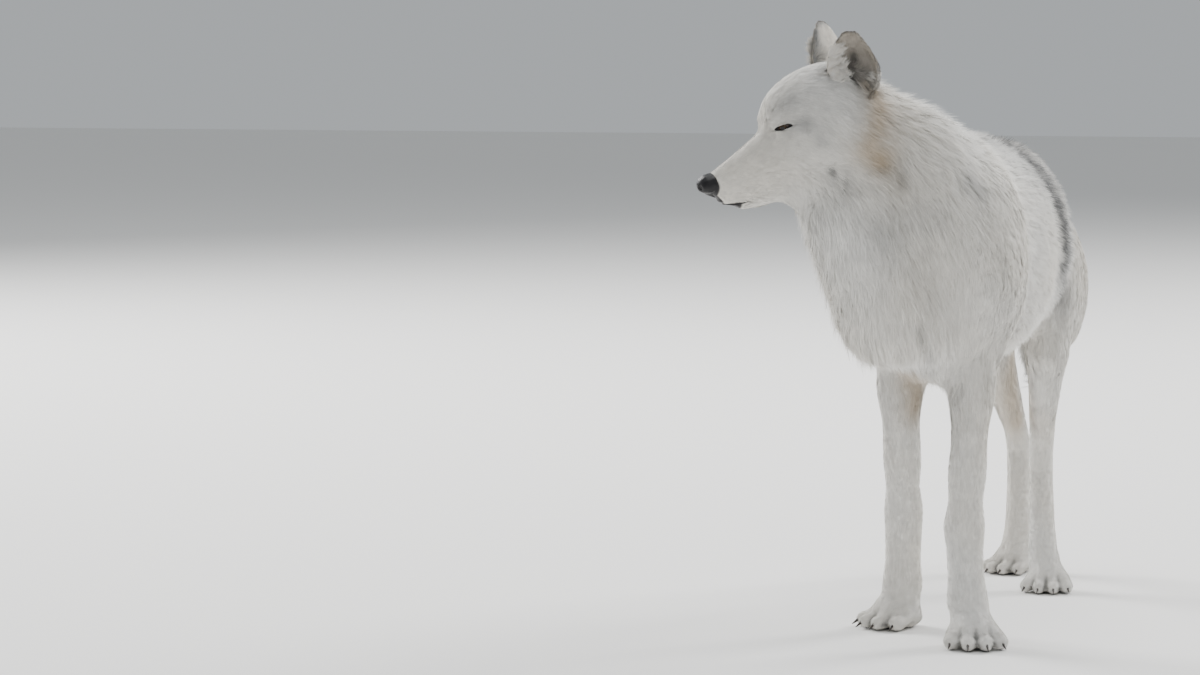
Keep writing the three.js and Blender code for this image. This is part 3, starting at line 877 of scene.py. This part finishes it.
def earColour(colour, h, normals, side):
    # Cream with a dark rim, and a tan lining, with painted shade in the hollow that deepens towards the
    # ear's foot and a black painted shadow down its middle.
    base, up, inner, opening = earAxes(side)
    reach = (h - base) @ up
    across = (h - base) @ inner
    out = (h - base) @ opening
    away = np.linalg.norm(h - base - up * 52, axis=1)
    half = np.maximum(np.interp(reach, earPlan["reach"], earPlan["halfWidth"]), 4)
    onEar = smoothStep(24, 40, reach) * smoothStep(62, 48, away)
    edge = np.clip(np.abs(across) / half, 0, 1.2)
    rim = smoothStep(0.62, 0.95, np.maximum(edge, smoothStep(70, 100, reach)))
    colour = mix(colour, "cream", 0.5 * onEar)
    colour = mix(colour, "grey", 0.8 * onEar * rim)
    colour = mix(colour, "dark", 0.6 * onEar * smoothStep(0.85, 1.0, rim))
    lining = smoothStep(0.1, 0.5, normals @ (opening @ headAxes.T)) * smoothStep(-32, -18, reach)
    lining = lining * smoothStep(12, 3, out) * smoothStep(60, 52, away)
    colour = mix(colour, "tan", 0.45 * lining)
    # painted shade in the ear's hollow, deeper towards its foot
    colour = mix(colour, "dark", (0.35 + 0.35 * smoothStep(84, 30, reach)) * lining * (1 - 0.6 * rim))
    # painted shadow down the middle of the hollow, where it runs deepest
    hollowShadow = np.exp(-((across / half / 0.22) ** 2)) * smoothStep(70, 50, reach)
    return mix(colour, "black", 0.9 * lining * hollowShadow)


def coatColour(points, normals):
    h = toHead(points)
    colour = np.ones((len(points), 3)) * shades["white"]
    warm = 0.5 + 0.5 * ripple(points, 0.11, 4.0)
    colour *= 1 - 0.06 * warm[:, None] * np.array((0.3, 0.8, 1.6))
    for mark in markingsAndPaintedShade.values():
        amount = mark["strength"] * np.exp(-((nearPath(points, mark["path"]) / mark["size"]) ** 2))
        if mark["tipped"]:
            amount = amount * 0.3
        colour = mix(colour, mark["shade"], amount)
    for side in (1, -1):
        colour = earColour(colour, h, normals, side)
    # Painted shade in the clefts between the toes.
    return mix(colour, "dark", 0.8 * betweenToes(points))


def darkTips(points):
    amount = np.zeros(len(points))
    for mark in markingsAndPaintedShade.values():
        if mark["tipped"]:
            tone = 1.0 if mark["shade"] == "dark" else 0.6
            near = np.exp(-((nearPath(points, mark["path"]) / mark["size"]) ** 2))
            amount = np.maximum(amount, tone * mark["strength"] * near)
    return amount * (0.9 + 0.35 * ripple(points, 0.020, 9.0))


def triangleArrays(mesh):
    mesh.calc_loop_triangles()
    corners = np.empty(len(mesh.loop_triangles) * 3, np.int32)
    mesh.loop_triangles.foreach_get("vertices", corners)
    return corners.reshape(-1, 3)


skinPoints = pointsOf(skin.data)
skinNormals = normalsOf(skin.data)
skinFaces = triangleArrays(skin.data)
skinTree = BVHTree.FromPolygons(skinPoints.tolist(), skinFaces.tolist())
skinShares = coatAt(skinPoints)[0]
skinGap = np.array([envelopeTree.find_nearest(p)[3] for p in skinPoints.tolist()])
print("coat laid out, deepest", round(float(skinGap.max()) * 1000), "mm")


def onSkin(points):
    # The nearest places on the skin, with the smooth normals and the room under the coat's outline.
    spots = np.empty_like(points)
    faces = np.empty(len(points), np.int64)
    find = skinTree.find_nearest
    for i, point in enumerate(points.tolist()):
        found = find(point)
        spots[i] = found[0]
        faces[i] = found[2]
    corners = skinFaces[faces]
    a, b, c = (skinPoints[corners[:, k]] for k in range(3))
    v0, v1, v2 = b - a, c - a, spots - a
    d00, d01, d11 = (v0 * v0).sum(1), (v0 * v1).sum(1), (v1 * v1).sum(1)
    d20, d21 = (v2 * v0).sum(1), (v2 * v1).sum(1)
    area = np.maximum(d00 * d11 - d01 * d01, 1e-18)
    v = (d11 * d20 - d01 * d21) / area
    w = (d00 * d21 - d01 * d20) / area
    share = np.stack([1 - v - w, v, w], 1)
    normals = unit((skinNormals[corners] * share[:, :, None]).sum(1))
    return spots, normals, (skinGap[corners] * share).sum(1)


def layAlong(normals, lie, turn):
    # The lie in the skin's own plane, turned about the normal, and the way across it.
    along = unit(lie - normals * (lie * normals).sum(1, keepdims=True))
    across = np.cross(normals, along)
    along = along * np.cos(turn)[:, None] + across * np.sin(turn)[:, None]
    return along, np.cross(normals, along)


def unwrap(obj):
    if "OFBake" not in obj.data.uv_layers:
        obj.data.uv_layers.new(name="OFBake")
    bpy.ops.object.select_all(action="DESELECT")
    bpy.context.view_layer.objects.active = obj
    obj.select_set(True)
    bpy.ops.object.mode_set(mode="EDIT")
    bpy.ops.mesh.select_all(action="SELECT")
    bpy.ops.uv.smart_project(angle_limit=math.radians(66), island_margin=0.002)
    bpy.ops.object.mode_set(mode="OBJECT")


def unwrapOf(faces):
    # Unwraps the skin under one piece of coat, and gives the places of its faces' corners.
    used, inverse = np.unique(faces, return_inverse=True)
    mesh = bpy.data.meshes.new("unwrap")
    mesh.vertices.add(len(used))
    mesh.vertices.foreach_set("co", skinPoints[used].astype(np.float32).ravel())
    mesh.loops.add(len(faces) * 3)
    mesh.loops.foreach_set("vertex_index", inverse.astype(np.int32).ravel())
    mesh.polygons.add(len(faces))
    mesh.polygons.foreach_set("loop_start", np.arange(0, len(faces) * 3, 3, dtype=np.int32))
    mesh.update()
    obj = addObject("unwrap", mesh)
    unwrap(obj)
    uv = np.empty(len(faces) * 6, np.float32)
    obj.data.uv_layers["OFBake"].data.foreach_get("uv", uv)
    bpy.data.objects.remove(obj)
    bpy.data.meshes.remove(mesh)
    return uv.reshape(-1, 3, 2)


tuftPlan = {
    "patch": 0.003,
    "clump": 16,  # tufts that lean together
    "pull": 0.25,  # how far they lean
    "draw": 0.6,  # how wide a tuft is at its tips, as a share of its roots
    "wave": 0.26,  # how far the lie wanders, in radians
    "jitter": 0.13,
    "buried": 0.0006,
    "loose": 0.16,  # the share of the long tufts that stand out
}


def patchesAt(spots, strands):
    # Gives each tuft its own small patch, with its strands side by side.
    column = (np.arange(strands) + 0.5) / strands - 0.5
    across = column[None, :, None] + np.array((0.0, 0.4, -0.4, 0.0)) / strands
    patch = np.zeros((len(spots), strands, 4, 2))
    patch[..., 0] = spots[:, None, None, 0] + tuftPlan["patch"] * across
    patch[..., 1] = spots[:, None, None, 1] + tuftPlan["patch"] * np.array((-0.5, 0.0, 0.0, 0.5))
    return patch


def buildStrands(name, points, normals, colours, uvs):
    # Joins strands of four corners each, root, two sides and tip, into one mesh.
    count = points.size // 12
    first = np.arange(count, dtype=np.int32)[:, None] * 4
    loops = (first + np.array((0, 2, 1, 1, 2, 3), np.int32)).ravel()
    mesh = bpy.data.meshes.new(name)
    mesh.vertices.add(count * 4)
    mesh.vertices.foreach_set("co", points.astype(np.float32).ravel())
    mesh.loops.add(len(loops))
    mesh.loops.foreach_set("vertex_index", loops)
    mesh.polygons.add(count * 2)
    mesh.polygons.foreach_set("loop_start", np.arange(0, count * 6, 3, dtype=np.int32))
    layer = mesh.uv_layers.new(name="OFBake")
    layer.data.foreach_set("uv", uvs.reshape(-1, 2)[loops].astype(np.float32).ravel())
    tint(mesh, colours.reshape(-1, 3))
    mesh.update()
    mesh.shade_smooth()
    mesh.normals_split_custom_set_from_vertices(normals.reshape(-1, 3).astype(np.float32))
    print(name, "triangles", count * 2)
    obj = addObject(name, mesh)
    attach(obj, "root")
    return obj


def tint(mesh, colours):
    layer = mesh.color_attributes.new("coatTint", "FLOAT_COLOR", "POINT")
    rgba = np.ones((len(colours), 4), np.float32)
    rgba[:, :3] = colours
    layer.data.foreach_set("color", rgba.ravel())


def sowTufts(rng, faces, most):
    # Spreads roots over the faces by the coat's density, and leaves bare leather free.
    uvs = unwrapOf(faces)
    a, b, c = (skinPoints[faces[:, k]] for k in range(3))
    area = np.linalg.norm(np.cross(b - a, c - a), axis=1) / 2
    weight = area * blended(skinShares[faces].mean(1), "density")
    count = min(int(weight.sum()), most)
    steps = np.cumsum(weight)
    picks = np.searchsorted(steps, (np.arange(count) + rng.random(count)) / count * steps[-1])
    picks = np.minimum(picks, len(faces) - 1)
    r1, r2 = np.sqrt(rng.random(count)), rng.random(count)
    bary = np.stack([1 - r1, r1 * (1 - r2), r1 * r2], 1)[:, :, None]
    root = (skinPoints[faces[picks]] * bary).sum(1)
    keep = leatherAt(root) < 0.35
    root, bary, picks = root[keep], bary[keep], picks[keep]
    corners = faces[picks]
    normal = unit((skinNormals[corners] * bary).sum(1))
    return root, normal, (skinGap[corners] * bary[:, :, 0]).sum(1), (uvs[picks] * bary).sum(1)


def leanTogether(rng, root, length):
    # Gathers tufts in clumps, and gives each one's lean and its clump's tone.
    centres = rng.choice(len(root), max(len(root) // tuftPlan["clump"], 1), replace=False)
    finder = KDTree(len(centres))
    for i, centre in enumerate(root[centres].tolist()):
        finder.insert(centre, i)
    finder.balance()
    owner = np.array([finder.find(p)[1] for p in root.tolist()])
    lean = root[centres[owner]] - root
    far = np.linalg.norm(lean, axis=1, keepdims=True)
    lean *= np.minimum(1, 0.5 * length[:, None] / np.maximum(far, 1e-6)) * tuftPlan["pull"]
    return lean, rng.normal(0, 1, len(centres))[owner]


def colourTufts(rng, root, rootNormal, tip, tipNormal, height, clumpTone, strandTone):
    # A little darker at the roots of high hair, as painted shade, and dark at the tips inside a tipped
    # marking.
    rootColour = coatColour(root, rootNormal)
    tipColour = coatColour(tip, tipNormal)
    # painted shade at the roots, deeper where the coat stands high
    rootShadeColour = rootColour * (1 - 0.08 * np.clip(height / 0.02, 0.1, 1)[:, None])
    midColour = rootColour * 0.5 + tipColour * 0.5
    uneven = 0.95 + 0.3 * clumpTone[:, None] + 0.6 * (rng.random(strandTone.shape[:2]) - 0.4)
    dark = np.clip(darkTips(tip)[:, None] * uneven, 0, 1)[:, :, None]
    tips = tipColour[:, None, :] * (1 - dark) + np.array(shades["dark"]) * 0.6 * dark
    mids = midColour[:, None, :] * (1 - 0.85 * dark) + np.array(shades["dark"]) * 0.85 * dark
    lows = np.repeat(rootShadeColour[:, None, :], strandTone.shape[1], 1)
    return np.clip(np.stack([lows, mids, mids, tips], 2) * strandTone[:, :, :, None], 0, 0.93)


def growCoat(name, chosen, strands, most, seed):
    rng = np.random.default_rng(seed)
    root, normal0, gap0, rootUv = sowTufts(rng, skinFaces[chosen], most // (2 * strands))
    count = len(root)
    shares, lie = coatAt(root)
    sizes = ("depth", "length", "width", "spread")
    depth, length, width, spread = (blended(shares, size) / 1000 for size in sizes)
    length = length * (0.5 + 0.5 * smoothStep(0.0, 0.02, root[:, 2]))
    turn = tuftPlan["wave"] * ripple(root, 0.03, 2.0) + rng.normal(0, tuftPlan["jitter"], count)
    along0, across0 = layAlong(normal0, lie, turn)
    swell = 1 + 0.10 * ripple(root, 0.035, 7.0) + rng.normal(0, 0.05, count)
    length = length * (1 + 0.12 * ripple(root, 0.05, 5.0) + rng.normal(0, 0.1, count))
    # each tuft is followed over the skin, to its middle and on to its tip
    reach = np.maximum(length, 0.002)
    mid, normal1, gap1 = onSkin(root + along0 * (reach * 0.5)[:, None])
    along1, across1 = layAlong(normal1, coatAt(mid)[1], turn * 0.8)
    tip, normal2, gap2 = onSkin(mid + along1 * (reach * 0.5)[:, None])
    along2, across2 = layAlong(normal2, along1, turn * 0)
    room = np.minimum(np.stack([gap0, gap1, gap2], 1), (depth * 1.3)[:, None] + 0.0004)
    room = np.maximum(room, 0.0006)
    clear = np.maximum(leatherAt(mid), leatherAt(tip)) < 0.4
    clear &= np.linalg.norm(tip - root, axis=1) < 1.5 * reach + 0.003
    lean, clumpTone = leanTogether(rng, root, length)
    tone = 1 + 0.04 * clumpTone + rng.normal(0, 0.025, count)
    # its strands stand around it, closer together towards the tip
    angle = rng.random((count, strands)) * 2 * math.pi
    radius = np.sqrt(rng.random((count, strands))) * spread[:, None]
    u, v = np.cos(angle) * radius, np.sin(angle) * radius
    grow = 0.72 + 0.4 * rng.random((count, strands))
    high = swell[:, None] * (0.84 + 0.22 * rng.random((count, strands)))
    loose = 1 + 0.6 * (rng.random(count) < tuftPlan["loose"]) * smoothStep(0.008, 0.013, depth)

    def at(base, normals, along, across, share, rise, leanShare):
        spot = (base + lean * leanShare)[:, None, :] + across[:, None, :] * (u * share)[:, :, None]
        spot = spot + along[:, None, :] * (v * share)[:, :, None]
        return spot + normals[:, None, :] * rise[:, :, None]

    draw = tuftPlan["draw"]
    low = np.full((count, strands), -tuftPlan["buried"])
    p0 = at(root, normal0, along0, across0, 1.0, low, 0.0)
    p1 = at(mid, normal1, along1, across1, 0.5 + draw / 2, (room[:, 1] * 0.68)[:, None] * high, 0.45)
    p2 = at(tip, normal2, along2, across2, draw, (room[:, 2] * 0.97 * loose)[:, None] * high, 1.0)
    p2 = p1 + (p2 - p1) * grow[:, :, None]
    roll = rng.uniform(-0.6, 0.6, (count, strands))[:, :, None]
    half = (width[:, None] * (0.7 + 0.6 * rng.random((count, strands))) / 2)[:, :, None]
    side = across1[:, None, :] * np.cos(roll) + normal1[:, None, :] * np.sin(roll)
    points = np.stack([p0, p1 + side * half, p1 - side * half, p2], 2)
    # the shading follows the skin, and a little of each blade's own face where the coat is deep
    blade = unit(np.cross(side, unit(p1 - p0)))
    blade *= np.sign((blade * normal1[:, None, :]).sum(-1, keepdims=True))
    own = (0.28 * smoothStep(0.001, 0.012, depth))[:, None, None]
    n0, n1, n2 = (unit((1 - own) * n[:, None, :] + own * blade) for n in (normal0, normal1, normal2))
    normals = np.stack([n0, n1, n1, n2], 2)
    strandTone = (tone[:, None] * (1 + rng.normal(0, 0.04, (count, strands))))[:, :, None]
    outerRoot = root + normal0 * room[:, :1]
    outerTip = tip + normal2 * room[:, 2:]
    colours = colourTufts(rng, outerRoot, normal0, outerTip, normal2, room[:, 1], clumpTone, strandTone)
    patch = patchesAt(rootUv, strands)
    return buildStrands(name, points[clear], normals[clear], colours[clear], patch[clear])


earHairPlan = {
    "count": 620,
    "strands": 5,
    "length": 0.027,  # at the foot of the ear, and less by "taper" towards its tip
    "taper": 0.011,
    "width": 0.0009,
}


def growEarHair(side, seed):
    # Long pale hair from the front edge and floor of the ear, lying across its opening.
    rng = np.random.default_rng(seed)
    count, strands = earHairPlan["count"], earHairPlan["strands"]
    up, inner, opening = (way @ headAxes.T for way in earAxes(side)[1:])
    reach = 2 + 62 * rng.random(count) ** 1.3
    around = 0.96 - 0.66 * rng.random(count) ** 1.6
    root = earPlace(side, reach, around, earPlan["wall"])
    length = earHairPlan["length"] - earHairPlan["taper"] * reach / 72
    length = length * (0.8 + 0.4 * rng.random(count))
    lean = rng.normal(0, 0.2, (count, 3))
    flow = unit(up * 0.9 - inner * (0.1 + 0.35 * around[:, None]) + opening * 0.3 + lean)
    mid = root + flow * (length * 0.5)[:, None] + opening * 0.004
    tip = root + flow * length[:, None] + opening * 0.003 - inner * 0.003
    normal = unit(root - earPlace(side, reach, around) + opening * 0.004)
    across = unit(np.cross(opening, flow))
    spread = rng.normal(0, 0.0016, (count, strands, 1)) * across[:, None, :]
    spread = spread + rng.normal(0, 0.0008, (count, strands, 1)) * opening
    p0 = root[:, None, :] + spread * 0.8
    p1 = mid[:, None, :] + spread
    grow = (0.75 + 0.4 * rng.random((count, strands)))[:, :, None]
    p2 = p1 + (tip[:, None, :] + spread * 1.2 - p1) * grow
    half = earHairPlan["width"] / 2 * (0.7 + 0.6 * rng.random((count, strands)))[:, :, None]
    points = np.stack([p0, p1 + across[:, None, :] * half, p1 - across[:, None, :] * half, p2], 2)
    facing = unit(opening[None, :] * 0.8 + normal * 0.4)
    normals = np.repeat(np.repeat(facing[:, None, None, :], strands, 1), 4, 2)
    tone = (0.92 + 0.12 * rng.random((count, strands)))[:, :, None]
    share = rng.random((count, 1, 1)) * 0.6
    hue = (np.array(shades["white"]) * 0.97 * (1 - share) + np.array(shades["cream"]) * share) * tone
    # Painted shade: the hairs are darker at their roots and middles than at their tips.
    colours = np.stack([hue * 0.7, hue * 0.92, hue * 0.92, hue], 2)
    spots = np.stack([(around + 1) / 2 * 0.9 + 0.05, reach / 104 * 0.9 + 0.05], 1)
    name = "earHairLeft" if side > 0 else "earHairRight"
    return buildStrands(name, points, normals, colours, patchesAt(spots, strands))


def furMaterial():
    material, tree, shader = newMaterial("coatHair", {"Roughness": 0.72, "Specular IOR Level": 0.25})
    shade = addNode(tree, "Attribute")
    shade.attribute_name = "coatTint"
    wire(tree, (shade, "Color", shader, "Base Color"))
    return material


def growAll():
    kind = skinShares[skinFaces].mean(1).argmax(1)
    centre = skinPoints[skinFaces].mean(1)
    outward = skinNormals[skinFaces].mean(1)
    local = (centre - wolfOrigin) * 1000
    left = outward[:, 0] > 0

    def isKind(*names):
        return np.isin(kind, [kindNames.index(n) for n in names])

    fore = local[:, 1] < 300
    pieces = {
        "faceCoat": (isKind("muzzle", "brow", "lid"), 4, 194000),
        "cheekCoat": (isKind("cheek", "ruff"), 5, 170000),
        "earCoat": (isKind("ear"), 4, 80000),
        "neckCoatLeft": (isKind("neck") & left, 6, 120000),
        "neckCoatRight": (isKind("neck") & ~left, 6, 96000),
        "chestCoat": (isKind("chest"), 6, 100000),
        "flankCoatLeft": (isKind("trunk") & left & fore, 6, 90000),
        "flankCoatRight": (isKind("trunk") & ~left & fore, 6, 80000),
        "rumpCoatLeft": (isKind("trunk") & left & ~fore, 6, 90000),
        "rumpCoatRight": (isKind("trunk") & ~left & ~fore, 6, 90000),
        "upperArmCoat": (isKind("thigh") & fore, 6, 130000),
        "thighCoat": (isKind("thigh") & ~fore, 6, 150000),
        "legCoat": (isKind("leg"), 4, 120000),
        "pawCoat": (isKind("paw"), 4, 70000),
        "tailCoat": (isKind("tail"), 6, 60000),
    }
    hair = furMaterial()
    for number, (name, (chosen, strands, most)) in enumerate(pieces.items()):
        obj = growCoat(name, np.nonzero(chosen)[0], strands, most, 100 + number)
        obj.data.materials.append(hair)
    for side in (1, -1):
        growEarHair(side, 400 + side).data.materials.append(hair)


growAll()

eyePlan = {
    "iris": 6.6,
    "pupil": 3.2,
    "gaze": (0.57, 0.82, 0.03),
    "cornea": 0.9,
}


def eyeMaterial(name, middle):
    # Rings of colour around the middle of the pupil, which the ramp counts in tenths of ten millimetres.
    material, tree, shader = newMaterial(name, {"Roughness": 0.12, "Specular IOR Level": 0.35})
    spot = addNode(tree, "TexCoord")
    offset = addNode(tree, "VectorMath", {1: middle})
    offset.operation = "SUBTRACT"
    length = addNode(tree, "VectorMath")
    length.operation = "LENGTH"
    scale = addNode(tree, "Math", {1: 100.0})
    scale.operation = "MULTIPLY"
    ramp = addNode(tree, "ValToRGB")
    pupil = eyePlan["pupil"] / 10
    iris = eyePlan["iris"] / 10
    stops = (
        (0.0, (0.004, 0.004, 0.004)),
        (pupil, (0.006, 0.005, 0.004)),
        (pupil + 0.03, (0.034, 0.017, 0.006)),
        (iris - 0.1, (0.055, 0.030, 0.010)),
        (iris, (0.015, 0.011, 0.008)),
        (iris + 0.06, (0.035, 0.027, 0.022)),
        (0.95, (0.09, 0.07, 0.06)),
    )
    while len(ramp.color_ramp.elements) < len(stops):
        ramp.color_ramp.elements.new(0.5)
    for element, (rest, colour) in zip(ramp.color_ramp.elements, stops):
        element.position = rest
        element.color = (*colour, 1)
    wire(
        tree,
        (spot, "Object", offset, 0),
        (offset, "Vector", length, 0),
        (length, "Value", scale, 0),
        (scale, "Value", ramp, "Fac"),
        (ramp, "Color", shader, "Base Color"),
    )
    return material


def addEye(side):
    end = "Left" if side > 0 else "Right"
    middle = ballCentre(side)
    gaze = unit(np.array(eyePlan["gaze"]) * (1, side, 1))
    ball = bmesh.new()
    bmesh.ops.create_icosphere(ball, subdivisions=5, radius=1)
    for vert in ball.verts:
        way = np.array(vert.co)
        bulge = eyePlan["cornea"] * smoothStep(0.84, 0.97, float(way @ gaze))
        vert.co = onHead(*(middle + way * (pose["eyeRadius"] + bulge)))
    mesh = meshFrom("eyeBall", ball)
    mesh.shade_smooth()
    mesh.materials.append(eyeMaterial("eyeGlass" + end, onHead(*(middle + gaze * pose["eyeRadius"]))))
    obj = addObject("eyeball" + end, mesh)
    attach(obj, "root")
    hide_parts(end.lower() + "_eye")


for side in (1, -1):
    addEye(side)

nosePlan = {
    "voxel": 0.0011,
    "swell": 0.0009,
    "nostrilAt": (138, 7.6, -19),
    "nostrilSize": (6, 3.6, 3.6),
    "nostrilDeep": 4.2,
    "slitTo": (127, 15.5, -23),
    "slitDeep": 2.2,
    "wingAt": (134, 13.5, -18),
    "wingHigh": 0.9,
    "grooveDeep": 1.3,
}


def leatherMaterial(name):
    material, tree, shader = newMaterial(name, {"Specular IOR Level": 0.3})
    spot = addNode(tree, "TexCoord")
    cells = addNode(tree, "TexVoronoi", {"Scale": 900})
    fine = addNode(tree, "TexNoise", {"Scale": 240})
    bump = addNode(tree, "Bump", {"Strength": 0.35, "Distance": 0.0005})
    shine = addNode(tree, "MapRange", {"To Min": 0.36, "To Max": 0.6})
    tone = addNode(tree, "ValToRGB")
    tone.color_ramp.elements[0].color = (0.004, 0.004, 0.005, 1)
    tone.color_ramp.elements[1].color = (0.014, 0.013, 0.014, 1)
    wire(
        tree,
        (spot, "Object", cells, "Vector"),
        (spot, "Object", fine, "Vector"),
        (cells, "Distance", bump, "Height"),
        (bump, "Normal", shader, "Normal"),
        (fine, "Fac", shine, "Value"),
        (shine, "Result", shader, "Roughness"),
        (fine, "Fac", tone, "Fac"),
        (tone, "Color", shader, "Base Color"),
    )
    return material


def addNose():
    obj = gather("noseLeather", ["nose"])
    wrapWith(obj, nosePlan["voxel"])
    relax(obj.data, 20)
    points = smoothed(pointsOf(obj.data), obj.data, 10, 0.5)
    setPoints(obj.data, points)
    normals = normalsOf(obj.data)
    points = points + normals * nosePlan["swell"]
    h = toHead(points)
    rise = np.zeros(len(h))
    for side in (1, -1):
        start = np.array(nosePlan["nostrilAt"]) * (1, side, 1)
        end = np.array(nosePlan["slitTo"]) * (1, side, 1)
        q = (h - start) / nosePlan["nostrilSize"]
        rise -= nosePlan["nostrilDeep"] * np.exp(-((q**2).sum(1) ** 1.4))
        t = np.clip(((h - start) @ (end - start)) / ((end - start) @ (end - start)), 0, 1)
        gap = np.linalg.norm(h - start - t[:, None] * (end - start), axis=1)
        rise -= nosePlan["slitDeep"] * np.exp(-((gap / 1.7) ** 2)) * (1 - 0.5 * t)
        wing = h - np.array(nosePlan["wingAt"]) * (1, side, 1)
        rise += nosePlan["wingHigh"] * np.exp(-((np.linalg.norm(wing, axis=1) / 4.5) ** 2))
    front = smoothStep(112, 126, h[:, 0]) * smoothStep(-14, -24, h[:, 2])
    rise -= nosePlan["grooveDeep"] * np.exp(-((h[:, 1] / 1.0) ** 2)) * front
    setPoints(obj.data, points + normals * rise[:, None] / 1000)
    obj.data.shade_smooth()
    obj.data.materials.clear()
    obj.data.materials.append(leatherMaterial("noseSkin"))
    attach(obj, "root")
    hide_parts("nose")


addNose()


def clawMaterial():
    material, tree, shader = newMaterial("clawHorn", {"Roughness": 0.4})
    spot = addNode(tree, "TexCoord")
    grain = addNode(tree, "TexNoise", {"Scale": 300})
    tone = addNode(tree, "ValToRGB")
    tone.color_ramp.elements[0].position = 0.3
    tone.color_ramp.elements[0].color = (0.018, 0.015, 0.013, 1)
    tone.color_ramp.elements[1].position = 0.75
    tone.color_ramp.elements[1].color = (0.085, 0.068, 0.055, 1)
    wire(
        tree,
        (spot, "Object", grain, "Vector"),
        (grain, "Fac", tone, "Fac"),
        (tone, "Color", shader, "Base Color"),
    )
    return material


def addClaws():
    corners = ("front_left", "front_right", "hind_left", "hind_right")
    names = [f"{corner}_claw_{i}" for corner in corners for i in range(1, 5)]
    obj = gather("claws", names)
    smooth = obj.modifiers.new("smooth", "SUBSURF")
    smooth.levels = 2
    smooth.render_levels = 2
    applyModifiers(obj)
    obj.data.shade_smooth()
    obj.data.materials.clear()
    obj.data.materials.append(clawMaterial())
    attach(obj, "root")
    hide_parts(*names)


addClaws()
print("eyes, nose and claws made")


def skinMaterial():
    # The hide and its shortest hair: the coat's colours with their painted shade, bare black leather, and
    # a fine nap.
    material, tree, shader = newMaterial("hide", {"Specular IOR Level": 0.3})
    shade = addNode(tree, "Attribute")
    shade.attribute_name = "coatTint"
    spot = addNode(tree, "TexCoord")
    nap = addNode(tree, "TexNoise", {"Scale": 700, "Detail": 3})
    bump = addNode(tree, "Bump", {"Strength": 0.45, "Distance": 0.0008})
    shine = addNode(tree, "MapRange", {"From Min": 0.02, "From Max": 0.3, "To Min": 0.38, "To Max": 0.8})
    wire(
        tree,
        (shade, "Color", shader, "Base Color"),
        (spot, "Object", nap, "Vector"),
        (nap, "Fac", bump, "Height"),
        (bump, "Normal", shader, "Normal"),
        (shade, "Fac", shine, "Value"),
        (shine, "Result", shader, "Roughness"),
    )
    return material


def paintSkin(obj):
    points = pointsOf(obj.data)
    normals = normalsOf(obj.data)
    outer = points + normals * skinGap[:, None]
    colour = coatColour(outer, normals) * 0.98
    colour = mix(colour, "grey", 0.35 * darkTips(outer))
    tint(obj.data, mix(colour, "black", leatherAt(points)))


paintSkin(skin)
unwrap(skin)
skin.data.materials.clear()
skin.data.materials.append(skinMaterial())
print("skin painted")

cameraPlan = {
    "place": (1390.0, -5940.9, 955.9),
    "turn": 18.2594,
    "pitch": 4.4935,
    "lens": 115.2,
}


def addCamera():
    camera = bpy.data.cameras.new("camera")
    camera.lens = cameraPlan["lens"]
    camera.sensor_width = 36
    camera.clip_end = 60
    obj = bpy.data.objects.new("camera", camera)
    obj.location = place(*cameraPlan["place"])
    obj.rotation_euler = (math.radians(90 - cameraPlan["pitch"]), 0, math.radians(cameraPlan["turn"]))
    bpy.context.collection.objects.link(obj)
    bpy.context.scene.camera = obj


addCamera()

lights = {
    "overhead": {"at": (0.4, 1.0, 7.0), "size": 6.0, "power": 420},
    "fill": {"at": (5.0, -8.0, 3.0), "size": 5.0, "power": 90},
    "backLeft": {"at": (-7.0, 4.0, 5.0), "size": 3.4, "power": 1000},
    "backRight": {"at": (5.5, 8.0, 5.5), "size": 3.4, "power": 1000},
}


def addLights():
    aim = Vector((0, 0, 0.55))
    for name, plan in lights.items():
        lamp = bpy.data.lights.new(name, "AREA")
        lamp.size = plan["size"]
        lamp.energy = plan["power"]
        obj = bpy.data.objects.new(name, lamp)
        obj.location = plan["at"]
        obj.rotation_euler = (aim - obj.location).to_track_quat("-Z", "Y").to_euler()
        bpy.context.collection.objects.link(obj)
    world = bpy.data.worlds.new("studio")
    bpy.context.scene.world = world
    world.use_nodes = True
    background = world.node_tree.nodes["Background"]
    background.inputs["Color"].default_value = (0.80, 0.84, 0.87, 1)
    background.inputs["Strength"].default_value = 0.56


addLights()


def addFloor():
    shape = bmesh.new()
    bmesh.ops.create_grid(shape, x_segments=1, y_segments=1, size=30)
    mesh = meshFrom("floor", shape)
    paint = {"Base Color": (0.86, 0.85, 0.83, 1), "Roughness": 0.9}
    mesh.materials.append(newMaterial("paleFloor", paint)[0])
    floor = addObject("floor", mesh)


addFloor()
print("camera, lights and floor set")
